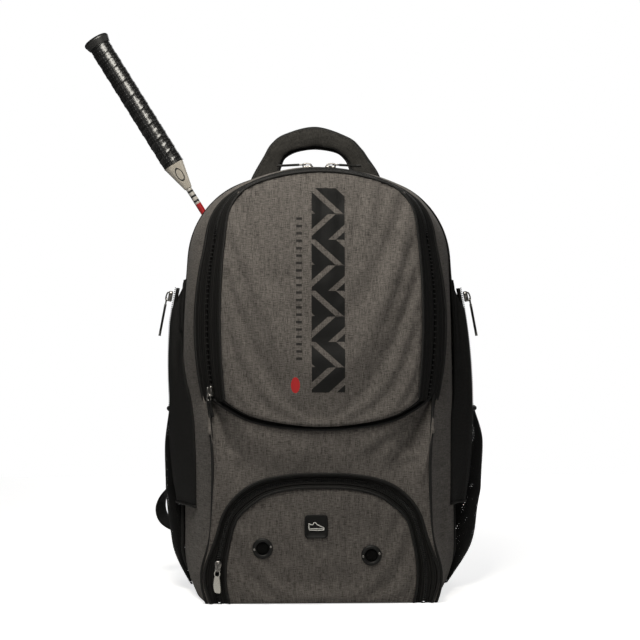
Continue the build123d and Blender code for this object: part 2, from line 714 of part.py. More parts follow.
def build_nodes():
    """Every sub-part by its name."""
    nodes = {
        "base_panel": base_panel(),
        "lower_front_panel": lower_front_panel(),
        "lower_gusset_left": mirror_x(lower_gusset()),
        "lower_gusset_right": lower_gusset(),
        "rear_gusset": rear_gusset(),
        "front_piping": front_piping(),
        "shoe_zip_tape_outer": shoe_zip_tape_outer(),
        "shoe_ceiling": shoe_ceiling(),
        "racket_divider": racket_divider(),
        "racket_gusset": racket_gusset(),
        "back_panel": back_panel(),
        "back_pads": back_pads(),
        "main_zip_tape_rear": main_zip_tape_rear(),
        "side_pocket_left": mirror_x(side_pocket()),
        "side_pocket_right": side_pocket(),
        "side_zip_tapes": group(side_zip_tape(), mirror_x(side_zip_tape())),
        "mesh_pocket_left": mirror_x(mesh_pocket()),
        "mesh_pocket_right": mesh_pocket(),
        "mesh_pocket_bindings": group(mesh_binding(), mirror_x(mesh_binding())),
        "shoulder_strap_left": mirror_x(shoulder_strap()),
        "shoulder_strap_right": shoulder_strap(),
        "strap_webbing": group(webbing_band(WEBBING_LEFT), webbing_band(WEBBING_RIGHT)),
        "strap_tabs": strap_tabs(),
        "handle_anchors": handle_anchors(),
        "upper_gusset": upper_gusset(),
        "main_zip_tape_front": main_zip_tape_front(),
        "pocket_back_wall": pocket_back_wall(),
        "pocket_zip_tape_rear": pocket_zip_tape_rear(),
        "pocket_floor": pocket_floor(),
        "pocket_panel": pocket_panel(),
        "pocket_zip_tape_front": pocket_zip_tape_front(),
        "shoe_panel": shoe_panel(),
        "shoe_zip_tape_inner": shoe_zip_tape_inner(),
        "vent_rings": vent_rings(),
        "vent_mesh": vent_mesh(),
        "shoe_label": shoe_label(),
        "handle_pad": handle_pad(),
        "handle_webbing": handle_webbing(),
        "racket_frame": racket_frame(),
        "racket_strings": racket_strings(),
        "racket_shaft": racket_shaft(),
        "racket_cone": racket_cone(),
        "racket_grip": racket_grip(),
        "racket_butt_cap": racket_butt_cap(),
        "ladder_lock_left": ladder_lock(WEBBING_LEFT),
        "ladder_lock_right": ladder_lock(WEBBING_RIGHT),
    }
    sliders = {
        "main_left": (main_slider_place(-1), 32.0),
        "main_right": (main_slider_place(1), 32.0),
        "side_left": (side_slider_place(-1), 44.0),
        "side_right": (side_slider_place(1), 44.0),
        "pocket": (pocket_slider_place(), 26.0),
        "shoe": (shoe_slider_place(), 26.0),
        "racket": (racket_slider_place(), 26.0),
    }
    for name, (place, length) in sliders.items():
        nodes[f"{name}_slider"] = zip_slider(place)
        nodes[f"{name}_pull"] = zip_pull(place, length)
    return nodes


os.makedirs("parts", exist_ok=True)
for node, solid in build_nodes().items():
    export_step(solid, f"parts/{node}.step")
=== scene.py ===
import math

import bpy
import numpy as np
from mathutils import Matrix, Vector, noise
from mathutils.bvhtree import BVHTree


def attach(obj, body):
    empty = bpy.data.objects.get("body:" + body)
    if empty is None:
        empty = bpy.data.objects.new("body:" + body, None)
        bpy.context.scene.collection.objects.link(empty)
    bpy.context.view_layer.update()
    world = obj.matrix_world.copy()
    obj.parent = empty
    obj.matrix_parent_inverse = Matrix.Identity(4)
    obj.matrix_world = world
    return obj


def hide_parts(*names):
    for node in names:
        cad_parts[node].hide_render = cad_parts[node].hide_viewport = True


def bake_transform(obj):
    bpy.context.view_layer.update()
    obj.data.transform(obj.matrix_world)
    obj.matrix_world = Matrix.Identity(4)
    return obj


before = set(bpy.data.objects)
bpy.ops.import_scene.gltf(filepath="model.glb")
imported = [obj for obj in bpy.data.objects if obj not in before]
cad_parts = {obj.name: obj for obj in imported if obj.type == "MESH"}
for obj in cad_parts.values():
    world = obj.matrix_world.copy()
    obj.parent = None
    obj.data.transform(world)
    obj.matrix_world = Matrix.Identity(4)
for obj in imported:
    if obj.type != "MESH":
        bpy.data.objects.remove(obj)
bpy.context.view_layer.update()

scene = bpy.context.scene
scene.view_settings.view_transform = "Standard"
scene.view_settings.look = "None"

# ------------------------------------------------------------------------------
# Camera, light and floor. The camera looks almost straight at the bag's front from a little to
# its left, at mid height. The light is a soft source overhead with fills from front, back and
# right. The shader classes that every finish uses are here, because the floor's needs them.

CAMERA_TURN = math.radians(-2.0)
CAMERA_AWAY = 1.8
CAMERA_AIM = Vector((0.0014, 0.0, 0.302))
camera_data = bpy.data.cameras.new("camera")
camera_data.sensor_width = 36.0
camera_data.lens = 90.0
camera = bpy.data.objects.new("camera", camera_data)
scene.collection.objects.link(camera)
camera_back = Vector((math.sin(CAMERA_TURN), -math.cos(CAMERA_TURN), 0.0))
camera.location = CAMERA_AIM + camera_back * CAMERA_AWAY
camera.rotation_mode = "QUATERNION"
camera.rotation_quaternion = (-camera_back).to_track_quat("-Z", "Y")
scene.camera = camera


def soft_light(name, place, aim, size, power, colour=(1, 1, 1)):
    """A square area light turned towards a point."""
    data = bpy.data.lights.new(name, "AREA")
    data.shape = "SQUARE"
    data.size = size
    data.energy = power
    data.color = colour
    lamp = bpy.data.objects.new(name, data)
    scene.collection.objects.link(lamp)
    lamp.location = place
    lamp.rotation_mode = "QUATERNION"
    lamp.rotation_quaternion = (Vector(aim) - Vector(place)).to_track_quat("-Z", "Y")
    return lamp


soft_light("overhead", (-0.10, -0.39, 0.81), (0, -0.06, 0.34), 0.36, 6.3, (1.0, 0.965, 0.88))
soft_light("front_fill", (-1.1, -2.0, 0.5), (0, 0, 0.25), 1.2, 1.6)
soft_light("back_fill", (0.3, 1.9, 1.0), (0, 0, 0.3), 1.4, 9.0)
soft_light("right_fill", (1.9, 0.2, 1.0), (0, 0, 0.3), 1.2, 3.0)

world = bpy.data.worlds.new("studio")
scene.world = world
world.use_nodes = True
world_nodes, world_link = world.node_tree.nodes, world.node_tree.links.new
world_nodes["Background"].inputs["Color"].default_value = (1, 1, 1, 1)
world_nodes["Background"].inputs["Strength"].default_value = 0.06
sky_seen = world_nodes.new("ShaderNodeBackground")
sky_seen.inputs["Color"].default_value = (1, 1, 1, 1)
sky_mix = world_nodes.new("ShaderNodeMixShader")
sky_path = world_nodes.new("ShaderNodeLightPath")
world_link(sky_path.outputs["Is Camera Ray"], sky_mix.inputs[0])
world_link(world_nodes["Background"].outputs[0], sky_mix.inputs[1])
world_link(sky_seen.outputs[0], sky_mix.inputs[2])
world_link(sky_mix.outputs[0], world_nodes["World Output"].inputs["Surface"])


class Val:
    """A shader number that Python operators turn into Math nodes."""

    def __init__(self, finish, socket):
        self.finish = finish
        self.socket = socket

    def math(self, operation, other=None, swap=False):
        terms = [self] if other is None else ([other, self] if swap else [self, other])
        return self.finish.node("ShaderNodeMath", dict(enumerate(terms)), operation=operation)

    def __add__(self, other):
        return self.math("ADD", other)

    def __sub__(self, other):
        return self.math("SUBTRACT", other)

    def __rsub__(self, other):
        return self.math("SUBTRACT", other, swap=True)

    def __mul__(self, other):
        return self.math("MULTIPLY", other)

    def __truediv__(self, other):
        return self.math("DIVIDE", other)

    def __pow__(self, other):
        return self.math("POWER", other)

    __radd__ = __add__
    __rmul__ = __mul__

    def sin(self):
        return self.math("SINE")

    def abs(self):
        return self.math("ABSOLUTE")

    def fract(self):
        return self.math("FRACT")

    def step(self, low, high):
        """0 below low, 1 above high, smooth between."""
        inputs = {"Value": self, "From Min": low, "From Max": high}
        return self.finish.node("ShaderNodeMapRange", inputs, interpolation_type="SMOOTHSTEP")


class Finish:
    """One material: a Principled surface and the nodes that feed it."""

    def __init__(self, name, colour=None, roughness=0.8, metallic=0.0, specular=0.5, coat=0.0, sheen=0.0):
        self.material = bpy.data.materials.new(name)
        self.material.use_nodes = True
        self.tree = self.material.node_tree
        self.surface = self.tree.nodes["Principled BSDF"]
        for key, value in (
            ("Roughness", roughness), ("Metallic", metallic), ("Specular IOR Level", specular),
            ("Coat Weight", coat), ("Sheen Weight", sheen),
        ):
            self.set(key, value)
        if colour:
            self.set("Base Color", (*colour, 1))

    def node(self, kind, inputs=(), output=0, **settings):
        """A node with its settings made first, then its inputs set or linked."""
        made = self.tree.nodes.new(kind)
        for key, value in settings.items():
            setattr(made, key, value)
        for key, value in dict(inputs).items():
            self.give(made.inputs[key], value)
        return Val(self, made.outputs[output])

    def give(self, socket, value):
        if isinstance(value, Val):
            self.tree.links.new(value.socket, socket)
        else:
            socket.default_value = value

    def set(self, name, value):
        self.give(self.surface.inputs[name], value)

    def cloth(self):
        """The piece's own cloth coordinates, in metres along and across the cloth."""
        return self.node("ShaderNodeUVMap", uv_map="cloth")

    def place(self):
        return self.node("ShaderNodeTexCoord", output="Object")

    def scaled(self, vector, x, y, z=1.0):
        return self.node("ShaderNodeVectorMath", {0: vector, 1: (x, y, z)}, operation="MULTIPLY")

    def noise(self, vector, scale=1.0, detail=2.0, rough=0.5):
        inputs = {"Vector": vector, "Scale": scale, "Detail": detail, "Roughness": rough}
        return self.node("ShaderNodeTexNoise", inputs)

    def parts(self, vector):
        split = self.tree.nodes.new("ShaderNodeSeparateXYZ")
        self.tree.links.new(vector.socket, split.inputs[0])
        return [Val(self, out) for out in split.outputs]

    def speckle(self, vector, scale, low, high):
        """Base colour that fine noise spreads between two colours."""
        fuzz = self.noise(self.scaled(vector, *scale))
        self.set("Base Color", self.stops(fuzz, (0.2, low), (0.9, high)))

    def blend(self, factor, first, second):
        """A colour between two colours."""
        made = self.tree.nodes.new("ShaderNodeMix")
        made.data_type = "RGBA"
        self.give(made.inputs[0], factor)
        self.give(made.inputs[6], first)
        self.give(made.inputs[7], second)
        return Val(self, made.outputs[2])

    def bump(self, height, distance, strength=1.0):
        self.set(
            "Normal",
            self.node("ShaderNodeBump", {"Height": height, "Distance": distance, "Strength": strength})
        )

    def stops(self, factor, *stops):
        """A colour ramp given as (position, colour)."""
        made = self.tree.nodes.new("ShaderNodeValToRGB")
        ramp = made.color_ramp
        for place, colour in stops[2:]:
            ramp.elements.new(place)
        for element, (place, colour) in zip(ramp.elements, sorted(stops)):
            element.position = place
            element.color = (*colour, 1)
        self.give(made.inputs[0], factor)
        return Val(self, made.outputs[0])


FLOOR_HALF = 1.3
floor_finish = Finish("pale_floor", (0.85, 0.85, 0.85), roughness=0.8)
floor_finish.set("Emission Color", floor_finish.node("ShaderNodeLightPath"))
floor_finish.set("Emission Strength", 0.72)
floor_mesh = bpy.data.meshes.new("floor")
floor_mesh.from_pydata(
    [(x * FLOOR_HALF, y * FLOOR_HALF, 0) for x, y in ((-1, -1), (1, -1), (1, 1), (-1, 1))],
    [], [(0, 1, 2, 3)],
)
floor_mesh.materials.append(floor_finish.material)
floor = bpy.data.objects.new("floor", floor_mesh)
floor.location = (0, 0, -0.0008)
scene.collection.objects.link(floor)


# ------------------------------------------------------------------------------
# Grey melange polyester, the bag's main cloth: a plain weave of light and dark filament yarns,
# with short slubs in both directions.

YARN = 0.00085


def melange(name, dark, light):
    """A finish of plain-woven light and dark yarns with slubs, and its woven colour."""
    cloth = Finish(name, roughness=0.88, specular=0.18, sheen=0.05)
    uv = cloth.cloth()
    weft = cloth.noise(cloth.scaled(uv, 150, 1500), detail=2)
    warp = cloth.noise(cloth.scaled(uv, 1400, 120), detail=2)
    streak = cloth.noise(cloth.scaled(uv, 420, 34), detail=2)
    fleck = cloth.noise(cloth.scaled(uv, 900, 1000), detail=1)
    blotch = cloth.noise(cloth.scaled(uv, 60, 34), detail=2)
    grain = (weft - 0.5) * 1.3 + (warp - 0.5) * 1.1 + (streak - 0.5) * 0.4 + (fleck - 0.5) * 0.6
    tone = 0.5 + grain + (blotch - 0.5) * 0.16
    woven = cloth.stops(tone, (0.12, dark), (0.88, light))
    cloth.set("Base Color", woven)
    u, v, _ = cloth.parts(uv)
    over = (u * (math.pi / YARN)).sin() * (v * (math.pi / YARN)).sin()
    cloth.bump(over * 0.16 + tone * 1.2, 0.00020, 0.5)
    return cloth, woven


GREY_YARNS = (0.0285, 0.0255, 0.0238), (0.134, 0.1215, 0.1120)
grey_cloth = melange("grey_melange", *GREY_YARNS)[0].material


# ------------------------------------------------------------------------------
# Front gusset: the grey strip round the whole body between the front's edge and the main zip.
# It is one length of cloth from the floor over the top.

# Outlines of the body seen from the front, in metres: hip, belly, neck, brow and crown height.
PANEL = dict(hip=(0.102, 0.206), belly=(0.1085, 0.286), neck=(0.102, 0.402), brow=(0.076, 0.446), top=0.461)
ZIPLINE = dict(
    hip=(0.113, 0.206), belly=(0.1225, 0.288), neck=(0.113, 0.396), brow=(0.086, 0.443), top=0.464
)
SEAM = dict(hip=(0.125, 0.206), belly=(0.1365, 0.290), neck=(0.124, 0.388), brow=(0.096, 0.440), top=0.467)
MAIN = dict(hip=(0.1505, 0.200), belly=(0.1515, 0.280), neck=(0.146, 0.362), brow=(0.098, 0.449), top=0.470)
BACK = dict(hip=(0.147, 0.200), belly=(0.1475, 0.280), neck=(0.142, 0.358), brow=(0.096, 0.445), top=0.466)
SHOULDER_BULGE = 0.14
FRONT_EDGE = [(0.134, 0.0), (0.131, 0.032), (0.1175, 0.066), (0.1155, 0.150), (0.119, 0.196)]
PANEL_Y, SEAM_Y, MAIN_Y, BACK_Y = -0.092, -0.060, -0.012, 0.093
# The two hinge lines of the front; bend_fit takes them but bends nothing.
SECTION_BEND = dict(start=(0, PANEL_Y, 0.180), end=(0, PANEL_Y, 0.215))
FLAP_BEND = dict(start=(0, PANEL_Y, 0.202), end=(0, PANEL_Y, 0.226))


def circle(a, b, c):
    """Centre and radius of the circle through three points of a plane."""
    a, b, c = (complex(*p) for p in (a, b, c))
    w = (c - a) / (b - a)
    centre = (b - a) * (w - abs(w) ** 2) / (2j * w.imag) + a
    return centre.real, centre.imag, abs(a - centre)


def arc_points(a, b, c, count):
    """Points on the circle through three points of a plane, from a up to but without c."""
    x, z, radius = circle(a, b, c)
    start, end = (math.atan2(p[1] - z, p[0] - x) for p in (a, c))
    turns = start + math.remainder(end - start, math.tau) * np.arange(count) / count
    return [(x + radius * math.cos(turn), z + radius * math.sin(turn)) for turn in turns]


def even(line, count):
    """The same line with evenly spaced points."""
    line = np.asarray(line, float)
    run = np.concatenate([[0], np.cumsum(np.linalg.norm(np.diff(line, axis=0), axis=1))])
    at = np.linspace(0, run[-1], count)
    return np.stack([np.interp(at, run, line[:, k]) for k in range(line.shape[1])], axis=1)


def relaxed(line, passes):
    """The line with its corners eased, its ends kept."""
    line = np.array(line, float)
    for _ in range(passes):
        line[1:-1] = line[1:-1] * 0.5 + (line[:-2] + line[2:]) * 0.25
    return line


def through(points, count):
    """Evenly spaced points on a smooth curve through given points."""
    p = np.asarray(points, float)
    p = np.vstack([2 * p[0] - p[1], p, 2 * p[-1] - p[-2]])
    dense = []
    for k in range(1, len(p) - 2):
        t = np.linspace(0, 1, 24, endpoint=False)[:, None]
        a, b, c, d = p[k - 1], p[k], p[k + 1], p[k + 2]
        dense.append(
            0.5
            * (2 * b + (c - a) * t + (2 * a - 5 * b + 4 * c - d) * t**2 + (3 * b - a - 3 * c + d) * t**3)
        )
    dense.append(p[-2:-1])
    return even(np.vstack(dense), count)


def arch(shape, count):
    """An outline's line from the left hip over the crown to the right hip, as (x, z)."""
    neck, brow = np.array(shape["neck"]), np.array(shape["brow"])
    chord = brow - neck
    shoulder = (neck + brow) / 2 + np.array([chord[1], -chord[0]]) * SHOULDER_BULGE
    half = arc_points(shape["hip"], shape["belly"], shape["neck"], 40)
    half += arc_points(shape["neck"], shoulder, shape["brow"], 30)
    half += arc_points(shape["brow"], (0, shape["top"]), (-brow[0], brow[1]), 40)[:21]
    half = np.array(half)
    left = half * [-1, 1]
    return relaxed(even(np.vstack([left, half[-2::-1]]), count), 6)


def at_depth(line, y):
    """Front-view points (x, z) placed at one depth, or at a depth for each point."""
    line = np.asarray(line)
    return np.column_stack([line[:, 0], np.broadcast_to(y, len(line)), line[:, 1]])


def rows_between(first, last, count, bulge=0.0, outward=None):
    """A grid of rows from one line to another, swelling outwards in between."""
    t = np.linspace(0, 1, count)[:, None, None]
    grid = first[None] * (1 - t) + last[None] * t
    if bulge:
        away = outward if outward is not None else line_out(first, last)
        grid = grid + np.sin(np.pi * t) * bulge * away[None]
    return grid


def line_out(first, last):
    """Outward directions along a strip between two lines that run left over the top to the right."""
    middle = (first + last) / 2
    along = np.gradient(middle, axis=0)
    out = np.cross(along, last - first)
    out /= np.linalg.norm(out, axis=1)[:, None] + 1e-12
    centre = np.array([0, middle[:, 1].mean(), 0.25])
    side = np.sign(np.einsum("ij,ij->i", out, middle - centre).sum())
    return out * side


FOOT_HEIGHT, FOOT_DRAW = 0.050, 0.085


def foot_tucked(points):
    """The bag draws in at its foot, towards a base narrower than its sides."""
    points = np.array(points, float)
    low = np.clip(1 - points[:, 2] / FOOT_HEIGHT, 0, 1)
    points[:, 0] *= 1 - FOOT_DRAW * low**2
    return points


class Shape:
    """Vertices, faces and cloth coordinates collected for one piece."""

    def __init__(self):
        self.points, self.faces, self.cloth = [], [], []

    def grid(self, grid, wrap=False, origin=(0, 0), flip=False, uv=None):
        """A sheet of quads over rows and columns of points; wrap joins the last column to the first."""
        grid = np.asarray(grid, float)
        rows, cols = grid.shape[:2]
        start = len(self.points)
        self.points += [tuple(p) for p in grid.reshape(-1, 3)]
        ring = np.concatenate([grid, grid[:, :1]], axis=1) if wrap else grid
        if uv is None:
            across = np.linalg.norm(np.diff(ring, axis=1), axis=2).mean(axis=0)
            down = np.linalg.norm(np.diff(ring, axis=0), axis=2).mean(axis=1)
            u = origin[0] + np.concatenate([[0], np.cumsum(across)])
            v = origin[1] + np.concatenate([[0], np.cumsum(down)])
            uv = np.stack(np.meshgrid(u, v), axis=2)
        for r in range(rows - 1):
            for c in range(ring.shape[1] - 1):
                d = (c + 1) % cols
                quad = [(r, c, c), (r, d, c + 1), (r + 1, d, c + 1), (r + 1, c, c)]
                if flip:
                    quad.reverse()
                self.faces.append([start + i * cols + j for i, j, _ in quad])
                self.cloth.append([tuple(uv[i][k]) for i, _, k in quad])
        return self

    def fan(self, ring, flip=False):
        """A flat or domed cap over a closed ring of points."""
        ring = np.asarray(ring, float)
        middle = ring.mean(axis=0)
        inner = middle + (ring - middle) * 0.5
        self.grid(np.array([ring, inner, middle + (ring - middle) * 0.02]), wrap=True, flip=flip)
        start = len(self.points) - len(ring)
        order = list(range(start, start + len(ring)))
        self.faces.append(order[::-1] if flip else order)
        self.cloth.append([(0.0, 0.0)] * len(ring))
        return self

    def make(self, name, *materials):
        mesh = bpy.data.meshes.new(name)
        mesh.from_pydata(foot_tucked(self.points).tolist(), [], self.faces)
        layer = mesh.uv_layers.new(name="cloth")
        layer.data.foreach_set("uv", np.array([p for face in self.cloth for p in face], float).ravel())
        for material in materials:
            mesh.materials.append(material)
        mesh.shade_smooth()
        mesh.validate()
        piece = bpy.data.objects.new(name, mesh)
        scene.collection.objects.link(piece)
        return piece


def facing(piece, away_from=None, towards=None):
    """Turns a piece's faces so that they look away from a point, or along a direction."""
    mesh = piece.data
    count = len(mesh.polygons)
    normals, centres, areas = np.empty(count * 3), np.empty(count * 3), np.empty(count)
    mesh.polygons.foreach_get("normal", normals)
    mesh.polygons.foreach_get("center", centres)
    mesh.polygons.foreach_get("area", areas)
    look = np.array(towards, float) if towards is not None else centres.reshape(-1, 3) - np.array(away_from)
    if ((normals.reshape(-1, 3) * look).sum(axis=1) * areas).sum() < 0:
        mesh.flip_normals()
    return piece


def sheet(name, grid, material, away_from=None, towards=None, **layout):
    """One sheet over a grid of points, facing away from a point or along a direction."""
    return facing(Shape().grid(np.asarray(grid), **layout).make(name, material), away_from, towards)


def finished(piece, *modifiers):
    """The piece with modifiers, each a type and its settings, worked into its mesh."""
    for kind, settings in modifiers:
        made = piece.modifiers.new(kind, kind)
        for key, value in settings.items():
            setattr(made, key, value)
    bpy.context.view_layer.update()
    solid = bpy.data.meshes.new_from_object(piece.evaluated_get(bpy.context.evaluated_depsgraph_get()))
    piece.modifiers.clear()
    old = piece.data
    piece.data = solid
    solid.name = piece.name
    bpy.data.meshes.remove(old)
    return piece


def thick(piece, wall, offset=-1.0, even=True, inside=None):
    """The sheet with real thickness, its first face kept in place by an offset of -1, lined if asked."""
    if inside:
        piece.data.materials.append(inside)
    settings = dict(thickness=wall, offset=offset, use_even_offset=even, material_offset=1 if inside else 0)
    return finished(piece, ("SOLIDIFY", settings))


def points_of(piece):
    co = np.empty(len(piece.data.vertices) * 3)
    piece.data.vertices.foreach_get("co", co)
    return co.reshape(-1, 3)


def put_points(piece, co):
    piece.data.vertices.foreach_set("co", np.asarray(co, float).ravel())
    piece.data.update()


def crumple(points, scale, seed):
    """Smooth random numbers about 0 for points, the same each run."""
    shift = Vector((seed * 7.31, seed * 3.17, seed * 5.77))
    return np.array([noise.noise(Vector(p) * scale + shift) for p in points])


def creased(piece, height, scale, seed=1, stretch=(1, 1, 1), mask=None):
    """Shallow folds pushed along the piece's own normals."""
    co = points_of(piece)
    normals = np.empty(len(co) * 3)
    piece.data.vertices.foreach_get("normal", normals)
    lift = crumple(co * np.array(stretch), scale, seed) * height
    if mask is not None:
        lift = lift * mask(co)
    put_points(piece, co + normals.reshape(-1, 3) * lift[:, None])
    return piece


def fit(piece, body, slot, *nodes):
    """Rides a piece on its body and hides the CAD nodes it stands for; slot is not used."""
    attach(piece, body)
    if nodes:
        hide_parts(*nodes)
    return piece


def bend_fit(piece, first, second, bend, slot, *nodes):
    """For cloth that crosses a hinge line: bakes the piece's place into its mesh and hides the CAD nodes it
    stands for.
    """
    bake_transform(piece)
    if nodes:
        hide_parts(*nodes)
    return piece


FORWARD = (0, -1, 0)
ARCH_STEPS = 150
LOW_STEPS = 26
MAIN_HALF, BACK_HALF = 0.1498, 0.1455
low_z = np.linspace(0.0, 0.199, LOW_STEPS)
edge_x = np.interp(low_z, [z for _, z in FRONT_EDGE], [x for x, _ in FRONT_EDGE])
edge_x = relaxed(edge_x[:, None], 3)[:, 0]


def whole_line(shape, upper_y, lower_x, lower_y):
    """A line from the left floor up over an outline to the right floor."""
    upper = at_depth(arch(shape, ARCH_STEPS), upper_y)
    left = np.column_stack(
        [-np.broadcast_to(lower_x, LOW_STEPS), np.broadcast_to(lower_y, LOW_STEPS), low_z]
    )
    right = left[::-1] * [-1, 1, 1]
    return relaxed(np.vstack([left, upper, right]), 10)


front_line = whole_line(SEAM, SEAM_Y, edge_x, PANEL_Y)
main_line = whole_line(MAIN, MAIN_Y - 0.003, MAIN_HALF, MAIN_Y + 0.0035)
gusset_grid = rows_between(front_line, main_line, 22, bulge=0.0022)

# The dark lining on the inside of the grey cloth.
lining = Finish("nylon_lining", roughness=0.7, specular=0.3)
lining_place = lining.place()
lining.speckle(lining_place, (220, 220, 220), (0.010, 0.010, 0.011), (0.034, 0.034, 0.036))
lining_x, lining_y, lining_z = lining.parts(lining_place)
lining.bump((lining_x * 5000.0).sin() * ((lining_z + lining_y) * 5000.0).sin(), 0.00012, 0.5)

front_gusset = sheet("front_gusset", gusset_grid, grey_cloth, away_from=(0, 0.05, 0.25), origin=(0.1, 0.7))
creased(front_gusset, 0.0016, 16, seed=3, stretch=(1, 1, 0.35))
creased(
    front_gusset, 0.0052, 22, seed=8, stretch=(1, 1, 0.22),
    mask=lambda p: np.clip((p[:, 0] - 0.09) / 0.03, 0, 1)
)
for pull_x, pull_z, pull_deep in ((-0.137, 0.075, 0.0030), (0.133, 0.085, 0.0042), (0.139, 0.275, 0.0030)):
    co = points_of(front_gusset)
    near = np.exp(
        -(((co[:, 0] - pull_x - (co[:, 2] - pull_z) * 0.09) / 0.0045) ** 2)
        - ((co[:, 2] - pull_z) / 0.045) ** 2
    )
    co[:, 1] += near * pull_deep
    put_points(front_gusset, co)
thick(front_gusset, 0.0030, inside=lining.material)
bend_fit(
    front_gusset, "bag", "front_section", SECTION_BEND, "grey_fabric", "lower_gusset_left",
    "lower_gusset_right", "upper_gusset"
)


# ------------------------------------------------------------------------------
# Front pocket panel: padded melange cloth with a printed column of slanted bars. Its lower arc
# is sewn to the hinged section.

# The panel's sewn lower edge and the piping below it: x, y and z from the left end to the middle.
PANEL_ARC = [
    (-0.1045, -0.0895, 0.2165), (-0.0945, -0.0935, 0.2095), (-0.076, -0.0955, 0.2005),
    (-0.045, -0.0970, 0.194), (0, -0.0975, 0.191)
]
LOWER_ARC = [
    (-0.1225, -0.0640, 0.2245), (-0.113, -0.0780, 0.2145), (-0.0965, -0.0900, 0.2045),
    (-0.076, -0.0945, 0.195), (-0.045, -0.0965, 0.1885), (0, -0.0970, 0.1855)
]


def whole_arc(points, count):
    """An arc given from the left end to the middle, carried on to the right end."""
    half = np.array(points)
    return through(np.vstack([half, half[-2::-1] * [-1, 1, 1]]), count)


def coons(bottom, top, left, right):
    """A patch between four lines: bottom and top run left to right, the sides run upwards."""
    s = np.linspace(0, 1, len(bottom))[None, :, None]
    t = np.linspace(0, 1, len(left))[:, None, None]
    across = left[:, None] * (1 - s) + right[:, None] * s
    up = bottom[None] * (1 - t) + top[None] * t
    corners = (bottom[0] * (1 - s) + bottom[-1] * s) * (1 - t) + (top[0] * (1 - s) + top[-1] * s) * t
    return across + up - corners


def front_uv(grid):
    """Cloth coordinates of a piece that faces the front: x and height."""
    return np.asarray(grid)[:, :, [0, 2]]


def dome(rows, cols, edge=0.5):
    """0 on a grid's border and 1 in its middle."""
    s, t = np.linspace(0, 1, cols)[None], np.linspace(0, 1, rows)[:, None]
    return (4 * s * (1 - s)) ** edge * (4 * t * (1 - t)) ** edge


def billowed(piece, pinned, pressure, slack, frames=22, gravity=0.4):
    """Blows the cloth up between its pinned border points, as the padding inside does."""
    group = piece.vertex_groups.new(name="sewn")
    group.add([int(i) for i in pinned], 1.0, "REPLACE")
    cloth = piece.modifiers.new("cloth", "CLOTH")
    setting = cloth.settings
    setting.vertex_group_mass = "sewn"
    setting.quality = 5
    setting.mass = 0.25
    setting.tension_stiffness = setting.compression_stiffness = 18
    setting.shear_stiffness = 8
    setting.bending_stiffness = 0.8
    setting.air_damping = 4
    setting.use_pressure = True
    setting.uniform_pressure_force = pressure
    setting.shrink_min = -slack
    setting.effector_weights.gravity = gravity
    cloth.point_cache.frame_start = 1
    cloth.point_cache.frame_end = frames
    for frame_number in range(1, frames + 1):
        scene.frame_set(frame_number)
    settled = bpy.data.meshes.new_from_object(piece.evaluated_get(bpy.context.evaluated_depsgraph_get()))
    piece.modifiers.clear()
    piece.vertex_groups.clear()
    piece.data = settled
    scene.frame_set(1)
    return piece


def border(rows, cols):
    index = np.arange(rows * cols).reshape(rows, cols)
    return np.unique(np.concatenate([index[0], index[-1], index[:, 0], index[:, -1]]))


def tube(line, radius, sides=8, closed=False):
    """Rings round a line, as a grid for Shape.grid with wrap."""
    line = np.asarray(line, float)
    along = np.gradient(line, axis=0)
    if closed:
        along = np.roll(line, -1, 0) - np.roll(line, 1, 0)
    along /= np.linalg.norm(along, axis=1)[:, None] + 1e-12
    side = np.cross(along[0], [0.12, 0.93, 0.35])
    rings = []
    for point, way in zip(line, along):
        side = side - way * side.dot(way)
        side /= np.linalg.norm(side)
        up = np.cross(way, side)
        turn = np.linspace(0, math.tau, sides, endpoint=False)[:, None]
        rings.append(point + (np.cos(turn) * side + np.sin(turn) * up) * radius)
    if closed:
        rings.append(rings[0])
    return np.array(rings)


piping_finish = Finish("piping_ribbon", roughness=0.6, specular=0.22)
piping_uv = piping_finish.cloth()
_, piping_v, _ = piping_finish.parts(piping_uv)
piping_finish.speckle(piping_uv, (300, 900), (0.003, 0.003, 0.003), (0.011, 0.0105, 0.010))
piping_finish.bump((piping_v * 9000.0).sin(), 0.00015, 0.4)
piping_cloth = piping_finish.material


def cord_piece(name, line, radius, material, closed=False, sides=8):
    """A closed round cord along a line."""
    shape = Shape()
    rings = tube(line, radius, sides, closed)
    shape.grid(rings, wrap=True)
    if not closed:
        shape.fan(rings[0], flip=True)
        shape.fan(rings[-1])
    piece = shape.make(name, material)
    middle = np.asarray(line)[len(line) // 2]
    sample = piece.data.polygons[(len(line) // 2) * sides]
    if Vector(sample.normal).dot(Vector(sample.center) - Vector(middle)) < 0:
        piece.data.flip_normals()
    return piece


def piped(name, line, radius, body="bag", *nodes, closed=False):
    """Black piping along a line, riding one body."""
    return fit(cord_piece(name, line, radius, piping_cloth, closed=closed), body, "piping", *nodes)


